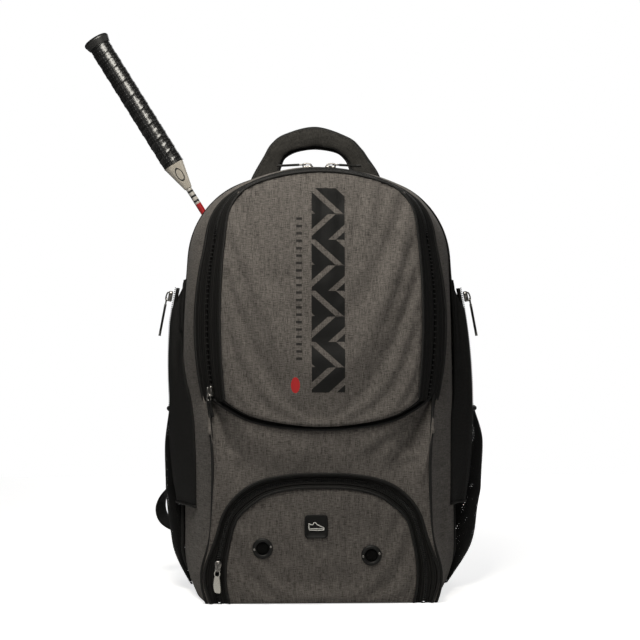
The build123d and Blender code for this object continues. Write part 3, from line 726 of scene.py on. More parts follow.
def printed_melange():
    """The melange again, with a plain printed motif and a small red oval on it."""
    ink, woven = melange("printed_melange", *GREY_YARNS)
    u, v, _ = ink.parts(ink.cloth())
    column = u.step(-0.0112, -0.0106) * (1.0 - u.step(0.0242, 0.0248))
    height = v.step(0.2280, 0.2286) * (1.0 - v.step(0.4440, 0.4446))
    lean = ((v - 0.228) / 0.054).fract().step(0.49, 0.51) * 2.0 - 1.0
    bar = ((v + lean * u * 0.9) / 0.027).fract()
    bars = column * height * bar.step(0.20, 0.23) * (1.0 - bar.step(0.93, 0.96))
    thin = u.step(-0.0275, -0.0272) * (1.0 - u.step(-0.0212, -0.0209))
    dash = (v / 0.0078).fract()
    line = thin * v.step(0.262, 0.2623) * (1.0 - v.step(0.414, 0.4143)) * dash.step(0.62, 0.68) * 0.85
    printed = ink.blend(bars.math("MAXIMUM", line), woven, (0.0055, 0.0055, 0.0055, 1))
    oval = 1.0 - (((u + 0.0280) / 0.0048) ** 2.0 + ((v - 0.2360) / 0.0085) ** 2.0).step(0.9, 1.05)
    ink.set("Base Color", ink.blend(oval, printed, (0.36, 0.020, 0.022, 1)))
    ink.set("Roughness", 0.86 - bars * 0.42)
    return ink.material


PANEL_COLS, PANEL_ROWS = 58, 74
panel_line = arch(PANEL, 400)
panel_line = panel_line[panel_line[:, 1] > 0.2172]
corner = int(np.argmax(panel_line[:, 1] > 0.4385))
panel_line = at_depth(panel_line, PANEL_Y - 0.0012)
panel_bottom = whole_arc(PANEL_ARC, PANEL_COLS)
panel_left = even(np.vstack([panel_bottom[:1], panel_line[: corner + 1]]), PANEL_ROWS)
panel_top = even(panel_line[corner: len(panel_line) - corner], PANEL_COLS)
panel_right = panel_left * [-1, 1, 1]
panel_grid = coons(panel_bottom, panel_top, panel_left, panel_right)
panel_dome = dome(PANEL_ROWS, PANEL_COLS, 0.42)
panel_grid[:, :, 1] -= panel_dome * 0.0085
pocket_panel = sheet(
    "front_pocket_panel", panel_grid, printed_melange(), towards=FORWARD, uv=front_uv(panel_grid)
)
billowed(pocket_panel, border(PANEL_ROWS, PANEL_COLS), 2.2, 0.010)


def away_from_border(rows, cols):
    """A mask for creased: 0 on a grid's border, 1 in its middle."""
    weight = dome(rows, cols).ravel()
    return lambda co: weight


creased(
    pocket_panel, 0.0012, 9, seed=21, stretch=(1, 1, 0.7), mask=away_from_border(PANEL_ROWS, PANEL_COLS)
)
creased(
    pocket_panel, 0.0011, 30, seed=5, stretch=(0.7, 1, 1.6), mask=away_from_border(PANEL_ROWS, PANEL_COLS)
)
near_edge = away_from_border(PANEL_ROWS, PANEL_COLS)
creased(
    pocket_panel, 0.0042, 27, seed=9, stretch=(0.8, 1, 1.1),
    mask=lambda co: near_edge(co) * np.clip((co[:, 0] - 0.045) / 0.035, 0, 1)
)
thick(pocket_panel, 0.0040, inside=lining.material)
bend_fit(pocket_panel, "front_section", "front_flap", FLAP_BEND, "grey_fabric", "pocket_panel")

piped("panel_piping", relaxed(panel_line[::3], 4), 0.0015, "front_flap")
arc_seam = cord_piece("panel_arc_piping", whole_arc(PANEL_ARC, 90), 0.0016, piping_cloth)
bend_fit(arc_seam, "front_section", "front_flap", FLAP_BEND, "piping")


# ------------------------------------------------------------------------------
# Front pocket zip band: two ribbed black tapes that widen down the sides, each with its row of
# coil teeth. The front tape turns with the flap, the rear tape stays on the section.

TAPE_WALL = 0.0018
tape_finish = Finish("ribbed_zip_tape", roughness=0.75, specular=0.16)
tape_uv = tape_finish.cloth()
tape_u, tape_v, _ = tape_finish.parts(tape_uv)
rib = (tape_v * (math.tau * 430.0)).sin()
thread = (tape_u * 5200.0).sin() * (tape_v * 5200.0).sin()
fuzz = tape_finish.noise(tape_finish.scaled(tape_uv, 700, 700))
tape_black = tape_finish.stops(
    rib * 0.22 + fuzz * 0.6 + 0.2, (0.25, (0.0026, 0.0026, 0.0025)), (0.95, (0.0105, 0.0100, 0.0095))
)
tape_finish.set("Base Color", tape_black)
tape_finish.bump(rib + thread * 0.25, 0.00035, 0.7)
tape_cloth = tape_finish.material
coil_finish = Finish("zip_coil", (0.006, 0.006, 0.006), roughness=0.5, specular=0.3)


def band_strip(name, first, last, ribs, height, rows=15):
    """A tape between two lines with swelling ribs along it."""
    grid = rows_between(first, last, rows)
    out = line_out(first, last)
    t = np.linspace(0, 1, rows)[:, None, None]
    grid = grid + (np.sin(t * math.pi * ribs) ** 2) * height * out[None]
    piece = sheet(name, grid, tape_cloth, away_from=(0, 0.02, 0.24))
    return thick(piece, TAPE_WALL)


def frames_along(line, outward):
    """Unit vectors along a line, across it and out of the cloth it lies on."""
    along = np.gradient(line, axis=0)
    along /= np.linalg.norm(along, axis=1)[:, None] + 1e-12
    out = np.broadcast_to(np.asarray(outward, float), line.shape)
    out = out - along * (out * along).sum(axis=1)[:, None]
    out = out / (np.linalg.norm(out, axis=1)[:, None] + 1e-12)
    return along, np.cross(out, along), out


def repeated(name, line, outward, spacing, size, material, lift):
    """Copies of one rounded bead along a line: size is along it, across it and out of the cloth."""
    length = np.linalg.norm(np.diff(line, axis=0), axis=1).sum()
    count = max(2, int(length / spacing))
    dense = even(np.hstack([line, np.broadcast_to(np.asarray(outward, float), line.shape)]), count)
    spots, outs = dense[:, :3], dense[:, 3:]
    along, across, out = frames_along(spots, outs)
    spots = spots + out * lift
    mesh = bpy.data.meshes.new(name)
    mesh.from_pydata(foot_tucked(spots).tolist(), [], [])
    turns = [Matrix((a, c, o)).transposed().to_euler() for a, c, o in zip(along, across, out)]
    turn = mesh.attributes.new("turn", "FLOAT_VECTOR", "POINT")
    turn.data.foreach_set("vector", np.array([tuple(t) for t in turns]).ravel())
    piece = bpy.data.objects.new(name, mesh)
    scene.collection.objects.link(piece)
    tree = bpy.data.node_groups.new(name, "GeometryNodeTree")
    tree.interface.new_socket("Line", in_out="INPUT", socket_type="NodeSocketGeometry")
    size_socket = tree.interface.new_socket("Bead size", in_out="INPUT", socket_type="NodeSocketVector")
    tree.interface.new_socket("Beads", in_out="OUTPUT", socket_type="NodeSocketGeometry")
    given = tree.nodes.new("NodeGroupInput")
    result = tree.nodes.new("NodeGroupOutput")
    bead = tree.nodes.new("GeometryNodeMeshUVSphere")
    for key, value in (("Segments", 8), ("Rings", 5), ("Radius", 0.5)):
        bead.inputs[key].default_value = value
    soft = tree.nodes.new("GeometryNodeSetShadeSmooth")
    sized = tree.nodes.new("GeometryNodeTransform")
    turned = tree.nodes.new("GeometryNodeInputNamedAttribute")
    turned.data_type = "FLOAT_VECTOR"
    turned.inputs["Name"].default_value = "turn"
    placed = tree.nodes.new("GeometryNodeInstanceOnPoints")
    real = tree.nodes.new("GeometryNodeRealizeInstances")
    painted = tree.nodes.new("GeometryNodeSetMaterial")
    painted.inputs["Material"].default_value = material
    for source, output, target, entry in (
        (bead, "Mesh", soft, "Geometry"), (soft, "Geometry", sized, "Geometry"),
        (given, "Bead size", sized, "Scale"), (given, "Line", placed, "Points"),
        (sized, "Geometry", placed, "Instance"), (turned, "Attribute", placed, "Rotation"),
        (placed, "Instances", real, "Geometry"), (real, "Geometry", painted, "Geometry"),
        (painted, "Geometry", result, "Beads"),
    ):
        tree.links.new(source.outputs[output], target.inputs[entry])
    modifier = piece.modifiers.new("beads", "NODES")
    modifier.node_group = tree
    modifier[size_socket.identifier] = [float(s) for s in size]
    return finished(piece)


def teeth(name, line, outward, body):
    """One row of coil teeth."""
    row = repeated(name, line, outward, 0.0021, (0.0013, 0.0032, 0.0015), coil_finish.material, 0.0005)
    fit(row, body, "zip_tape")


panel_edge = at_depth(arch(PANEL, ARCH_STEPS), PANEL_Y - 0.0008)
zip_line = at_depth(arch(ZIPLINE, ARCH_STEPS), -0.0760)
seam_edge = at_depth(arch(SEAM, ARCH_STEPS), SEAM_Y)
trim = seam_edge[:, 2] > 0.2145
trimmed = slice(int(np.argmax(trim)), len(trim) - int(np.argmax(trim[::-1])))
panel_edge, zip_line, seam_edge = panel_edge[trimmed], zip_line[trimmed], seam_edge[trimmed]
gap = (seam_edge - panel_edge) / (np.linalg.norm(seam_edge - panel_edge, axis=1)[:, None] + 1e-9)
front_tape = band_strip("pocket_tape_front", panel_edge, zip_line - gap * 0.0012, 2, 0.0011)
fit(front_tape, "front_flap", "zip_tape", "pocket_zip_tape_front")
rear_tape = band_strip("pocket_tape_rear", zip_line + gap * 0.0012, seam_edge, 2, 0.0011)
fit(rear_tape, "front_section", "zip_tape", "pocket_zip_tape_rear")
zip_out = line_out(panel_edge, seam_edge)
teeth("pocket_teeth_front", zip_line - gap * 0.0011, zip_out, "front_flap")
teeth("pocket_teeth_rear", zip_line + gap * 0.0011, zip_out, "front_section")
piped("section_piping", relaxed(seam_edge, 3), 0.0017, "front_section")

arc_strip = sheet(
    "arc_tape", rows_between(*(even(whole_arc(arc, 200), 70) for arc in (PANEL_ARC, LOWER_ARC)), 5),
    tape_cloth, towards=FORWARD
)
thick(arc_strip, 0.0016)
fit(arc_strip, "front_section", "zip_tape")
piped("lower_arc_piping", whole_arc(LOWER_ARC, 90), 0.0019, "front_section")


# ------------------------------------------------------------------------------
# Lower front: grey cloth between the shoe compartment's zip band and the lower arc, with pulled
# creases towards the corners.

SHOE_OUTER = [
    (0.129, 0.0), (0.1265, 0.031), (0.1135, 0.068), (0.104, 0.097), (0.088, 0.117), (0.066, 0.130),
    (0.035, 0.1365), (0, 0.138)
]
SHOE_ZIP = [
    (0.119, 0.0), (0.1136, 0.027), (0.1054, 0.068), (0.097, 0.094), (0.081, 0.111), (0.060, 0.123),
    (0.032, 0.1290), (0, 0.1305)
]
SHOE_INNER = [
    (0.1075, 0.0), (0.1045, 0.027), (0.0985, 0.064), (0.0905, 0.090), (0.073, 0.107), (0.055, 0.117),
    (0.029, 0.1225), (0, 0.1235)
]


def shoe_line(points, y, count):
    """One line of the shoe compartment's arch, from the left floor over to the right floor."""
    half = np.array(points) * [-1, 1]
    return at_depth(through(np.vstack([half, half[-2::-1] * [-1, 1]]), count), y)


LOWER_COLS = 210
edge_left = np.column_stack([-edge_x, np.full(LOW_STEPS, PANEL_Y), low_z])[low_z < 0.188]
arc_points_3d = whole_arc(LOWER_ARC, 200)
lower_outer = np.vstack([edge_left, arc_points_3d, edge_left[::-1] * [-1, 1, 1]])
corner_line = relaxed(np.vstack([edge_left, arc_points_3d[:1]]), 3)
shoe_outer = shoe_line(SHOE_OUTER, -0.0955, LOWER_COLS)
lower_outer = relaxed(even(lower_outer, LOWER_COLS), 1)
lower_grid = rows_between(shoe_outer, lower_outer, 44)
swell = np.sin(np.linspace(0, math.pi, 44))[:, None] * np.sin(
    np.linspace(0, math.pi, LOWER_COLS)
)[None] ** 0.5
lower_grid[:, :, 1] -= swell * 0.0028
lower_front = sheet("lower_front_cloth", lower_grid, grey_cloth, towards=FORWARD, uv=front_uv(lower_grid))


def lower_mask(co):
    inside = np.clip((0.125 - np.abs(co[:, 0])) / 0.02, 0, 1)
    return swell.ravel() * (0.35 + 0.65 * inside)


creased(lower_front, 0.0048, 17, seed=31, stretch=(1.0, 1, 0.55), mask=lower_mask)
creased(lower_front, 0.0026, 42, seed=12, stretch=(1.4, 1, 0.7), mask=lower_mask)
DARTS = (
    (-0.094, 0.158, 2.2), (0.090, 0.158, 0.95), (-0.107, 0.120, 1.9), (0.110, 0.128, 1.2),
    (0.070, 0.172, 0.6)
)
for dart_x, dart_z, dart_turn in DARTS:
    co = points_of(lower_front)
    dx, dz = co[:, 0] - dart_x, co[:, 2] - dart_z
    along = dx * math.cos(dart_turn) + dz * math.sin(dart_turn)
    across = -dx * math.sin(dart_turn) + dz * math.cos(dart_turn)
    ridge = np.exp(-((across / 0.0065) ** 2)) - 0.5 * np.exp(-(((across - 0.011) / 0.008) ** 2))
    co[:, 1] += 0.0022 * np.exp(-((along / 0.028) ** 2)) * ridge * swell.ravel()
    put_points(lower_front, co)
co = points_of(lower_front)
board_edge = np.exp(-(((co[:, 2] - 0.1515) / 0.009) ** 4)) * np.clip(
    (0.114 - np.abs(co[:, 0])) / 0.012, 0, 1
)
co[:, 1] -= board_edge * np.maximum(co[:, 1] + 0.0894, 0)
put_points(lower_front, co)
thick(lower_front, 0.0030, inside=lining.material)
bend_fit(lower_front, "bag", "front_section", SECTION_BEND, "grey_fabric", "lower_front_panel")

SIDES = (-1, "left"), (1, "right")


def once(side, node):
    """A CAD node that holds the pieces of both sides is replaced by the left piece alone."""
    return [node] if side < 0 else []


for side, label in SIDES:
    seam = cord_piece(
        f"corner_piping_{label}", corner_line * [-side, 1, 1] + np.array([0, -0.0006, 0]), 0.0018,
        piping_cloth
    )
    bend_fit(seam, "bag", "front_section", SECTION_BEND, "piping", *once(side, "front_piping"))


# ------------------------------------------------------------------------------
# Shoe compartment: a low arched flap with a wide ribbed zip band, two eyelet vents and a small
# moulded label. The flap turns on its lower edge, where its cloth runs into the floor.

SHOE_BEND = dict(start=(0, PANEL_Y, 0.0), end=(0, PANEL_Y, 0.018))
shoe_zip = shoe_line(SHOE_ZIP, -0.0926, 120)
shoe_inner = shoe_line(SHOE_INNER, -0.0942, 120)
shoe_outer = shoe_line(SHOE_OUTER, -0.0944, 120)
shoe_gap = (shoe_zip - shoe_inner) / np.linalg.norm(shoe_zip - shoe_inner, axis=1)[:, None]


def shoe_strip(name, first, last, body, *nodes):
    grid = rows_between(first, last, 15)
    t = np.linspace(0, 1, 15)
    grid[:, :, 1] -= ((np.sin(t * math.pi * 2) ** 2) * 0.0011)[:, None]
    piece = thick(sheet(name, grid, tape_cloth, towards=FORWARD), TAPE_WALL)
    return fit(piece, body, "zip_tape", *nodes)


shoe_strip("shoe_tape_outer", shoe_zip + shoe_gap * 0.0011, shoe_outer, "bag", "shoe_zip_tape_outer")
shoe_strip("shoe_tape_inner", shoe_inner, shoe_zip - shoe_gap * 0.0011, "shoe_flap", "shoe_zip_tape_inner")
teeth("shoe_teeth_outer", shoe_zip + shoe_gap * 0.0010, FORWARD, "bag")
teeth("shoe_teeth_inner", shoe_zip - shoe_gap * 0.0010, FORWARD, "shoe_flap")
piped("shoe_piping_outer", shoe_outer + np.array([0, -0.0008, 0]), 0.0016)
bend_fit(
    cord_piece("shoe_piping_inner", shoe_inner + np.array([0, -0.0012, 0]), 0.0015, piping_cloth), "bag",
    "shoe_flap", SHOE_BEND, "piping"
)

FLAP_COLS, FLAP_ROWS = 64, 38
flap_line = shoe_line(SHOE_INNER, PANEL_Y - 0.0028, 300)
flap_corner = int(np.argmax(flap_line[:, 2] > 0.100))
flap_left = even(flap_line[: flap_corner + 1], FLAP_ROWS)
flap_top = even(flap_line[flap_corner: len(flap_line) - flap_corner], FLAP_COLS)
flap_right = flap_left * [-1, 1, 1]
flap_bottom = at_depth(
    np.column_stack([np.linspace(flap_left[0][0], flap_right[0][0], FLAP_COLS), np.zeros(FLAP_COLS)]),
    PANEL_Y - 0.0028
)
flap_grid = coons(flap_bottom, flap_top, flap_left, flap_right)
flap_grid[:, :, 1] -= dome(FLAP_ROWS, FLAP_COLS, 0.45) * 0.0062
shoe_panel = sheet("shoe_flap_cloth", flap_grid, grey_cloth, towards=FORWARD, uv=front_uv(flap_grid) + 0.4)
billowed(shoe_panel, border(FLAP_ROWS, FLAP_COLS), 1.2, 0.008)
creased(shoe_panel, 0.0026, 15, seed=44, stretch=(0.8, 1, 1.5), mask=away_from_border(FLAP_ROWS, FLAP_COLS))
creased(shoe_panel, 0.0012, 44, seed=17, stretch=(0.8, 1, 1.5), mask=away_from_border(FLAP_ROWS, FLAP_COLS))
VENTS = [(-0.063, 0.059), (0.053, 0.051)]
LABEL = (-0.006, 0.082)


def pressed_flat(piece, spots):
    """Cloth levelled round fittings: each spot is x, z, half size and returns its depth."""
    co = points_of(piece)
    depths = []
    for x, z, size in spots:
        far = np.hypot(co[:, 0] - x, co[:, 2] - z)
        depth = co[far < size, 1].mean()
        weight = np.clip(1.6 - far / size, 0, 1)
        co[:, 1] = co[:, 1] * (1 - weight) + depth * weight
        depths.append(depth)
    put_points(piece, co)
    return depths


fitting_depths = pressed_flat(shoe_panel, [(*VENTS[0], 0.014), (*VENTS[1], 0.014), (*LABEL, 0.018)])
thick(shoe_panel, 0.0040, inside=lining.material)
bend_fit(shoe_panel, "bag", "shoe_flap", SHOE_BEND, "grey_fabric", "shoe_panel")

plastic = Finish("black_acetal", (0.006, 0.006, 0.006), roughness=0.45, specular=0.25)
plastic_place = plastic.place()
plastic.set("Roughness", plastic.noise(plastic.scaled(plastic_place, 90, 90, 90)) * 0.2 + 0.4)
plastic.bump(plastic.noise(plastic.scaled(plastic_place, 1500, 1500, 1500)), 0.00008, 0.5)
mesh_finish = Finish("fine_vent_mesh", (0.0025, 0.0025, 0.0025), roughness=0.8, specular=0.1)
vent_x, _, vent_z = mesh_finish.parts(mesh_finish.place())
mesh_finish.bump((vent_x * 5200.0).sin() * (vent_z * 5200.0).sin(), 0.0005, 1.0)
steel = Finish("dark_nickel", roughness=0.32, metallic=1.0)
steel_place = steel.place()
steel.speckle(steel_place, (300, 300, 300), (0.13, 0.125, 0.12), (0.36, 0.345, 0.33))
steel.bump(steel.noise(steel.scaled(steel_place, 900, 900, 900)), 0.00006, 0.4)


def turned(name, centre, profile, material, sides=40):
    """A ring or cap turned about a line through centre along y: profile is (radius, height out)."""
    turn = np.linspace(0, math.tau, sides, endpoint=False)
    grid = np.array(
        [
            [(centre[0] + r * math.cos(a), centre[1] - h, centre[2] + r * math.sin(a)) for a in turn]
            for r, h in profile
        ]
    )
    return Shape().grid(grid, wrap=True).make(name, material)


for (side, label), (x, z), depth in zip(SIDES, VENTS, fitting_depths):
    ring = turned(
        f"eyelet_{label}", (x, depth, z),
        [
            (0.0068, -0.002), (0.0068, 0.0004), (0.0074, 0.0016), (0.0088, 0.0021), (0.0102, 0.0014),
            (0.0110, 0.0002), (0.0110, -0.002), (0.0068, -0.002)
        ],
        plastic.material
    )
    fit(
        facing(ring, away_from=(x, depth + 0.004, z)), "shoe_flap", "black_plastic",
        *once(side, "vent_rings")
    )
    net = turned(
        f"eyelet_mesh_{label}", (x, depth, z),
        [(0.0070, 0.0), (0.0070, 0.0003), (0.0045, 0.0004), (0.0001, 0.0004)], mesh_finish.material
    )
    fit(facing(net, towards=FORWARD), "shoe_flap", "vent_mesh", *once(side, "vent_mesh"))
    for spot, (px, pz) in enumerate(((x - 0.0089, z - 0.001), (x + 0.0086, z + 0.002))):
        rivet = turned(
            f"eyelet_{label}_rivet_{spot}", (px, depth - 0.0018, pz),
            [(0.0013, 0.0), (0.0013, 0.0005), (0.0008, 0.0009), (0.0001, 0.0010)], steel.material, 14
        )
        fit(facing(rivet, towards=FORWARD), "shoe_flap", "zip_metal")

rubber = Finish("label_rubber", (0.0045, 0.0045, 0.0045), roughness=0.6, specular=0.2)
rubber.bump(rubber.noise(rubber.scaled(rubber.place(), 1800, 1800, 1800)), 0.0001, 0.5)
label_depth = fitting_depths[2]
LABEL_HALF = 0.0125


def rounded_square(sides, power):
    """Points round a square of half width 1 whose corners are sharper the higher the power."""
    turn = np.linspace(0, math.tau, sides, endpoint=False)
    c, s = np.cos(turn), np.sin(turn)
    reach = 1 / (np.abs(c) ** power + np.abs(s) ** power) ** (1 / power)
    return np.column_stack([c * reach, s * reach])


rounded = rounded_square(64, 7) * LABEL_HALF
label_rings = [
    at_depth(rounded * k + LABEL, label_depth - h)
    for k, h in (
        (1.0, -0.001), (1.0, 0.0010), (0.96, 0.0016), (0.90, 0.0016), (0.88, 0.0011), (0.4, 0.0011),
        (0.02, 0.0011)
    )
]
label_piece = sheet("shoe_label_patch", label_rings, rubber.material, towards=FORWARD, wrap=True)
fit(label_piece, "shoe_flap", "label_rubber", "shoe_label")
ink_finish = Finish("label_white", (0.62, 0.62, 0.60), roughness=0.5)
shoe_mark = [
    (-0.0080, 0.0035), (-0.0076, -0.0024), (-0.0060, -0.0036), (0.0068, -0.0036), (0.0082, -0.0026),
    (0.0080, -0.0010), (0.0048, 0.0004), (0.0012, 0.0022), (-0.0010, 0.0044), (-0.0026, 0.0042),
    (-0.0034, 0.0022), (-0.0062, 0.0024), (-0.0080, 0.0035)
]
mark_line = at_depth(through(shoe_mark, 70)[:-1] + np.array(LABEL), label_depth - 0.0014)
fit(
    cord_piece("label_shoe_outline", mark_line, 0.00042, ink_finish.material, closed=True, sides=6),
    "shoe_flap", "label_rubber"
)
sole_line = at_depth(
    through([(-0.0074, -0.0022), (0.0, -0.0020), (0.0078, -0.0018)], 20) + np.array(LABEL),
    label_depth - 0.0014
)
fit(
    cord_piece("label_shoe_sole", sole_line, 0.00034, ink_finish.material, sides=6), "shoe_flap",
    "label_rubber"
)


# ------------------------------------------------------------------------------
# Linings and boards seen when the bag is open: the pocket's back wall and floor, the shoe
# compartment's ceiling, the divider in front of the racket and the base.


def painted_box(node, material):
    """A CAD node shown as it is, with its own finish."""
    shown = bpy.data.objects[node]
    shown.data.materials.clear()
    shown.data.materials.append(material)
    return shown


painted_box("pocket_back_wall", lining.material)
painted_box("shoe_ceiling", lining.material)
painted_box("racket_divider", lining.material)
tray_line = [(0.0850, -0.0850), (0.1150, -0.0600), (-0.1150, -0.0600), (-0.0850, -0.0850)]
tray = Shape()
tray_ring = even(np.array([(*p, 0) for p in tray_line + tray_line[:1]]), 61)[:-1]
tray.grid(np.array([tray_ring + np.array([0, 0, h]) for h in (0.2060, 0.2020, 0.1990)]), wrap=True)
tray.fan(tray_ring + np.array([0, 0, 0.1985]))
pocket_tray = thick(
    facing(tray.make("pocket_tray", lining.material), away_from=(0, -0.075, 0.215)), 0.0016, 0.0
)
fit(pocket_tray, "front_section", "lining_fabric", "pocket_floor")


def plain_black(name, dark=0.0035, light=0.0135, thread=5400.0, roughness=0.78, depth=0.0002, solid=False):
    """Plain black cloth with a fine weave; solid cloth reads the piece's own space."""
    cloth = Finish(name, roughness=roughness, specular=0.18)
    base = cloth.place() if solid else cloth.cloth()
    fuzz = cloth.noise(cloth.scaled(base, 500, 500, 500), detail=3)
    cloth.set(
        "Base Color",
        cloth.stops(fuzz, (0.25, (dark, dark, dark)), (0.8, (light, light * 0.98, light * 0.95)))
    )
    a, b, c = cloth.parts(base)
    over = (a * thread).sin() * ((b + c) * thread).sin()
    cloth.bump(over + fuzz * 0.8, depth, 0.6)
    return cloth.material


black_cloth = plain_black("black_nylon")
base_cloth = plain_black("coated_base_cloth", 0.006, 0.020, 3600.0, 0.6, 0.0003, solid=True)
base_plan = [
    (-0.1335, -0.0872), (-0.1485, -0.012), (-0.1450, 0.093), (0.1450, 0.093), (0.1485, -0.012),
    (0.1335, -0.0872)
]
base_ring = relaxed(even(np.array([(*p, 0) for p in base_plan + base_plan[:1]]), 121), 2)[:-1]
base_layers = [
    base_ring * [k, k, 1] + np.array([0, 0, h])
    for k, h in ((0.99, 0.0048), (1.0, 0.0040), (1.0, 0.0012), (0.985, 0.0002))
]
base_shape = Shape().grid(np.array(base_layers), wrap=True)
base_shape.fan(base_layers[-1]).fan(base_layers[0], flip=True)
base_panel = facing(base_shape.make("base_panel_cloth", base_cloth), away_from=(0, 0, 0.0025))
fit(base_panel, "bag", "grey_fabric", "base_panel")


# ------------------------------------------------------------------------------
# Main zip and the rear gussets: two tapes with a coil round the arch, then grey cloth back to
# the racket compartment, whose own gusset leaves a mouth open at the upper left.


def body_line(y):
    """The body's outline at a depth behind the main zip."""
    t = (y - MAIN_Y) / (BACK_Y - MAIN_Y)
    front, back = whole_line(MAIN, MAIN_Y, MAIN_HALF, MAIN_Y), whole_line(BACK, BACK_Y, BACK_HALF, BACK_Y)
    return front * (1 - t) + back * t


main_arch = at_depth(arch(MAIN, ARCH_STEPS), MAIN_Y)
main_zip_out = line_out(main_arch + [0, -0.004, 0], main_arch + [0, 0.004, 0])
back_step = np.array([0, 0.001, 0])
tape_front = band_strip(
    "main_tape_front", main_arch - back_step * 5.2, main_arch - back_step * 1.2, 1, 0.0010, rows=9
)
fit(tape_front, "front_section", "zip_tape", "main_zip_tape_front")
tape_rear = band_strip(
    "main_tape_rear", main_arch + back_step * 1.2, main_arch + back_step * 5.2, 1, 0.0010, rows=9
)
fit(tape_rear, "bag", "zip_tape", "main_zip_tape_rear")
teeth(
    "main_teeth_front", main_arch - back_step * 1.1 - main_zip_out * 0.0004, main_zip_out, "front_section"
)
teeth("main_teeth_rear", main_arch + back_step * 1.1 - main_zip_out * 0.0004, main_zip_out, "bag")

rear_front, rear_back = body_line(-0.0085), body_line(0.060)
low_front = rear_front[:, 2] < 0.197
rear_front[low_front, 1] = -0.0090
rear_gusset = sheet(
    "rear_gusset_cloth", rows_between(rear_front, rear_back, 20, bulge=0.0015), grey_cloth,
    away_from=(0, 0.03, 0.22), origin=(0.3, 0.2)
)
creased(rear_gusset, 0.0022, 17, seed=51, stretch=(1, 1, 0.4))
thick(rear_gusset, 0.0030, inside=lining.material)
fit(rear_gusset, "bag", "grey_fabric", "rear_gusset")
piped("rear_piping", body_line(0.061), 0.0017)

racket_front, racket_back = body_line(0.062), body_line(0.0925)
racket_grid = rows_between(racket_front, racket_back, 12, bulge=0.0012)
racket_middle = (racket_front + racket_back) / 2
open_mouth = (racket_middle[:, 0] < -0.030) & (racket_middle[:, 2] > 0.250)
mouth_start, mouth_end = int(np.argmax(open_mouth)), len(open_mouth) - int(np.argmax(open_mouth[::-1]))
racket_shape = Shape().grid(racket_grid[:, :mouth_start]).grid(
    racket_grid[:, mouth_end:], origin=(0.6, 0.2)
)
racket_gusset = facing(racket_shape.make("racket_gusset_cloth", grey_cloth), away_from=(0, 0.07, 0.22))
fit(thick(racket_gusset, 0.0028), "bag", "grey_fabric", "racket_gusset")
back_seam = body_line(0.0935)
piped("back_piping", back_seam, 0.0018)
mouth_row = racket_grid[:, mouth_start - 1]
mouth_top = racket_grid[:, mouth_end]
for label, row in (("low", mouth_row), ("high", mouth_top)):
    piped(f"mouth_binding_{label}", row, 0.0022)
racket_zip = np.column_stack([np.full(40, -0.1503), np.full(40, 0.077), np.linspace(0.150, 0.246, 40)])
racket_strip = rows_between(racket_zip + [0, -0.008, 0], racket_zip + [0, 0.008, 0], 7)
fit(
    thick(sheet("racket_zip_tape", racket_strip, tape_cloth, towards=(-1, 0, 0)), 0.0012), "bag",
    "zip_tape"
)
for shift in (-0.0011, 0.0011):
    teeth(
        f"racket_teeth_{'front' if shift < 0 else 'rear'}", racket_zip + [-0.0002, shift, 0], (-1, 0, 0),
        "bag"
    )


# ------------------------------------------------------------------------------
# Back panel and its pads: black cloth with two long pads and one lumbar pad in spacer mesh,
# blown up by their foam and stitched round.

back_line = whole_line(BACK, BACK_Y + 0.0025, BACK_HALF, BACK_Y + 0.0025)
half_count = len(back_line) // 2
back_left = even(back_line[:half_count - 2], 90)
back_grid = rows_between(back_left, back_left * [-1, 1, 1], 44).transpose(1, 0, 2)
back_grid[:, :, 1] += 0.0022 * dome(90, 44, 0.5)
back_panel = sheet("back_panel_cloth", back_grid, black_cloth, towards=(0, 1, 0), uv=front_uv(back_grid))
creased(back_panel, 0.0014, 22, seed=61, mask=away_from_border(90, 44))
fit(thick(back_panel, 0.0045), "bag", "black_fabric", "back_panel")

spacer = Finish("spacer_mesh", roughness=0.85, specular=0.18)
spacer_u, spacer_v, _ = spacer.parts(spacer.cloth())
cell_a = ((spacer_u / 0.0042).fract() - 0.5) ** 2.0 + ((spacer_v / 0.0042).fract() - 0.5) ** 2.0
cell_b = ((spacer_u / 0.0042 + 0.5).fract() - 0.5) ** 2.0 + ((spacer_v / 0.0042 + 0.5).fract() - 0.5) ** 2.0
pore = 1.0 - cell_a.math("MINIMUM", cell_b).step(0.030, 0.085)
spacer.set("Base Color", spacer.blend(pore, (0.024, 0.024, 0.025, 1), (0.004, 0.004, 0.004, 1)))
spacer.bump(1.0 - pore, 0.0009, 0.9)


def back_pad(name, centre, half, rows, cols, *nodes):
    """A cushion on the back panel: a rounded rectangle of cloth, blown up, with its own back."""
    s, t = np.meshgrid(np.linspace(-1, 1, cols), np.linspace(-1, 1, rows))
    x = centre[0] + half[0] * s * (1 - 0.10 * t**8 * (half[1] / half[0]) ** 0.3)
    z = centre[1] + half[1] * t * (1 - 0.10 * s**8 * (half[0] / half[1]) ** 0.3)
    grid = np.stack([x, BACK_Y + 0.0045 + dome(rows, cols, 0.33) * PAD_HEIGHT, z], axis=2)
    pad = sheet(name, grid, spacer.material, towards=(0, 1, 0), uv=front_uv(grid))
    billowed(pad, border(rows, cols), 1.5, 0.006, frames=16, gravity=0.2)
    creased(pad, 0.0010, 40, seed=len(name), mask=away_from_border(rows, cols))
    edge = points_of(pad).reshape(rows, cols, 3)
    loop = np.vstack([edge[0], edge[1:, -1], edge[-1, -2::-1], edge[-2:0:-1, 0]])
    thick(pad, 0.0050)
    fit(pad, "bag", "spacer_mesh", *nodes)
    piped(f"{name}_binding", loop + np.array([0, 0.0006, 0]), 0.0022, closed=True)


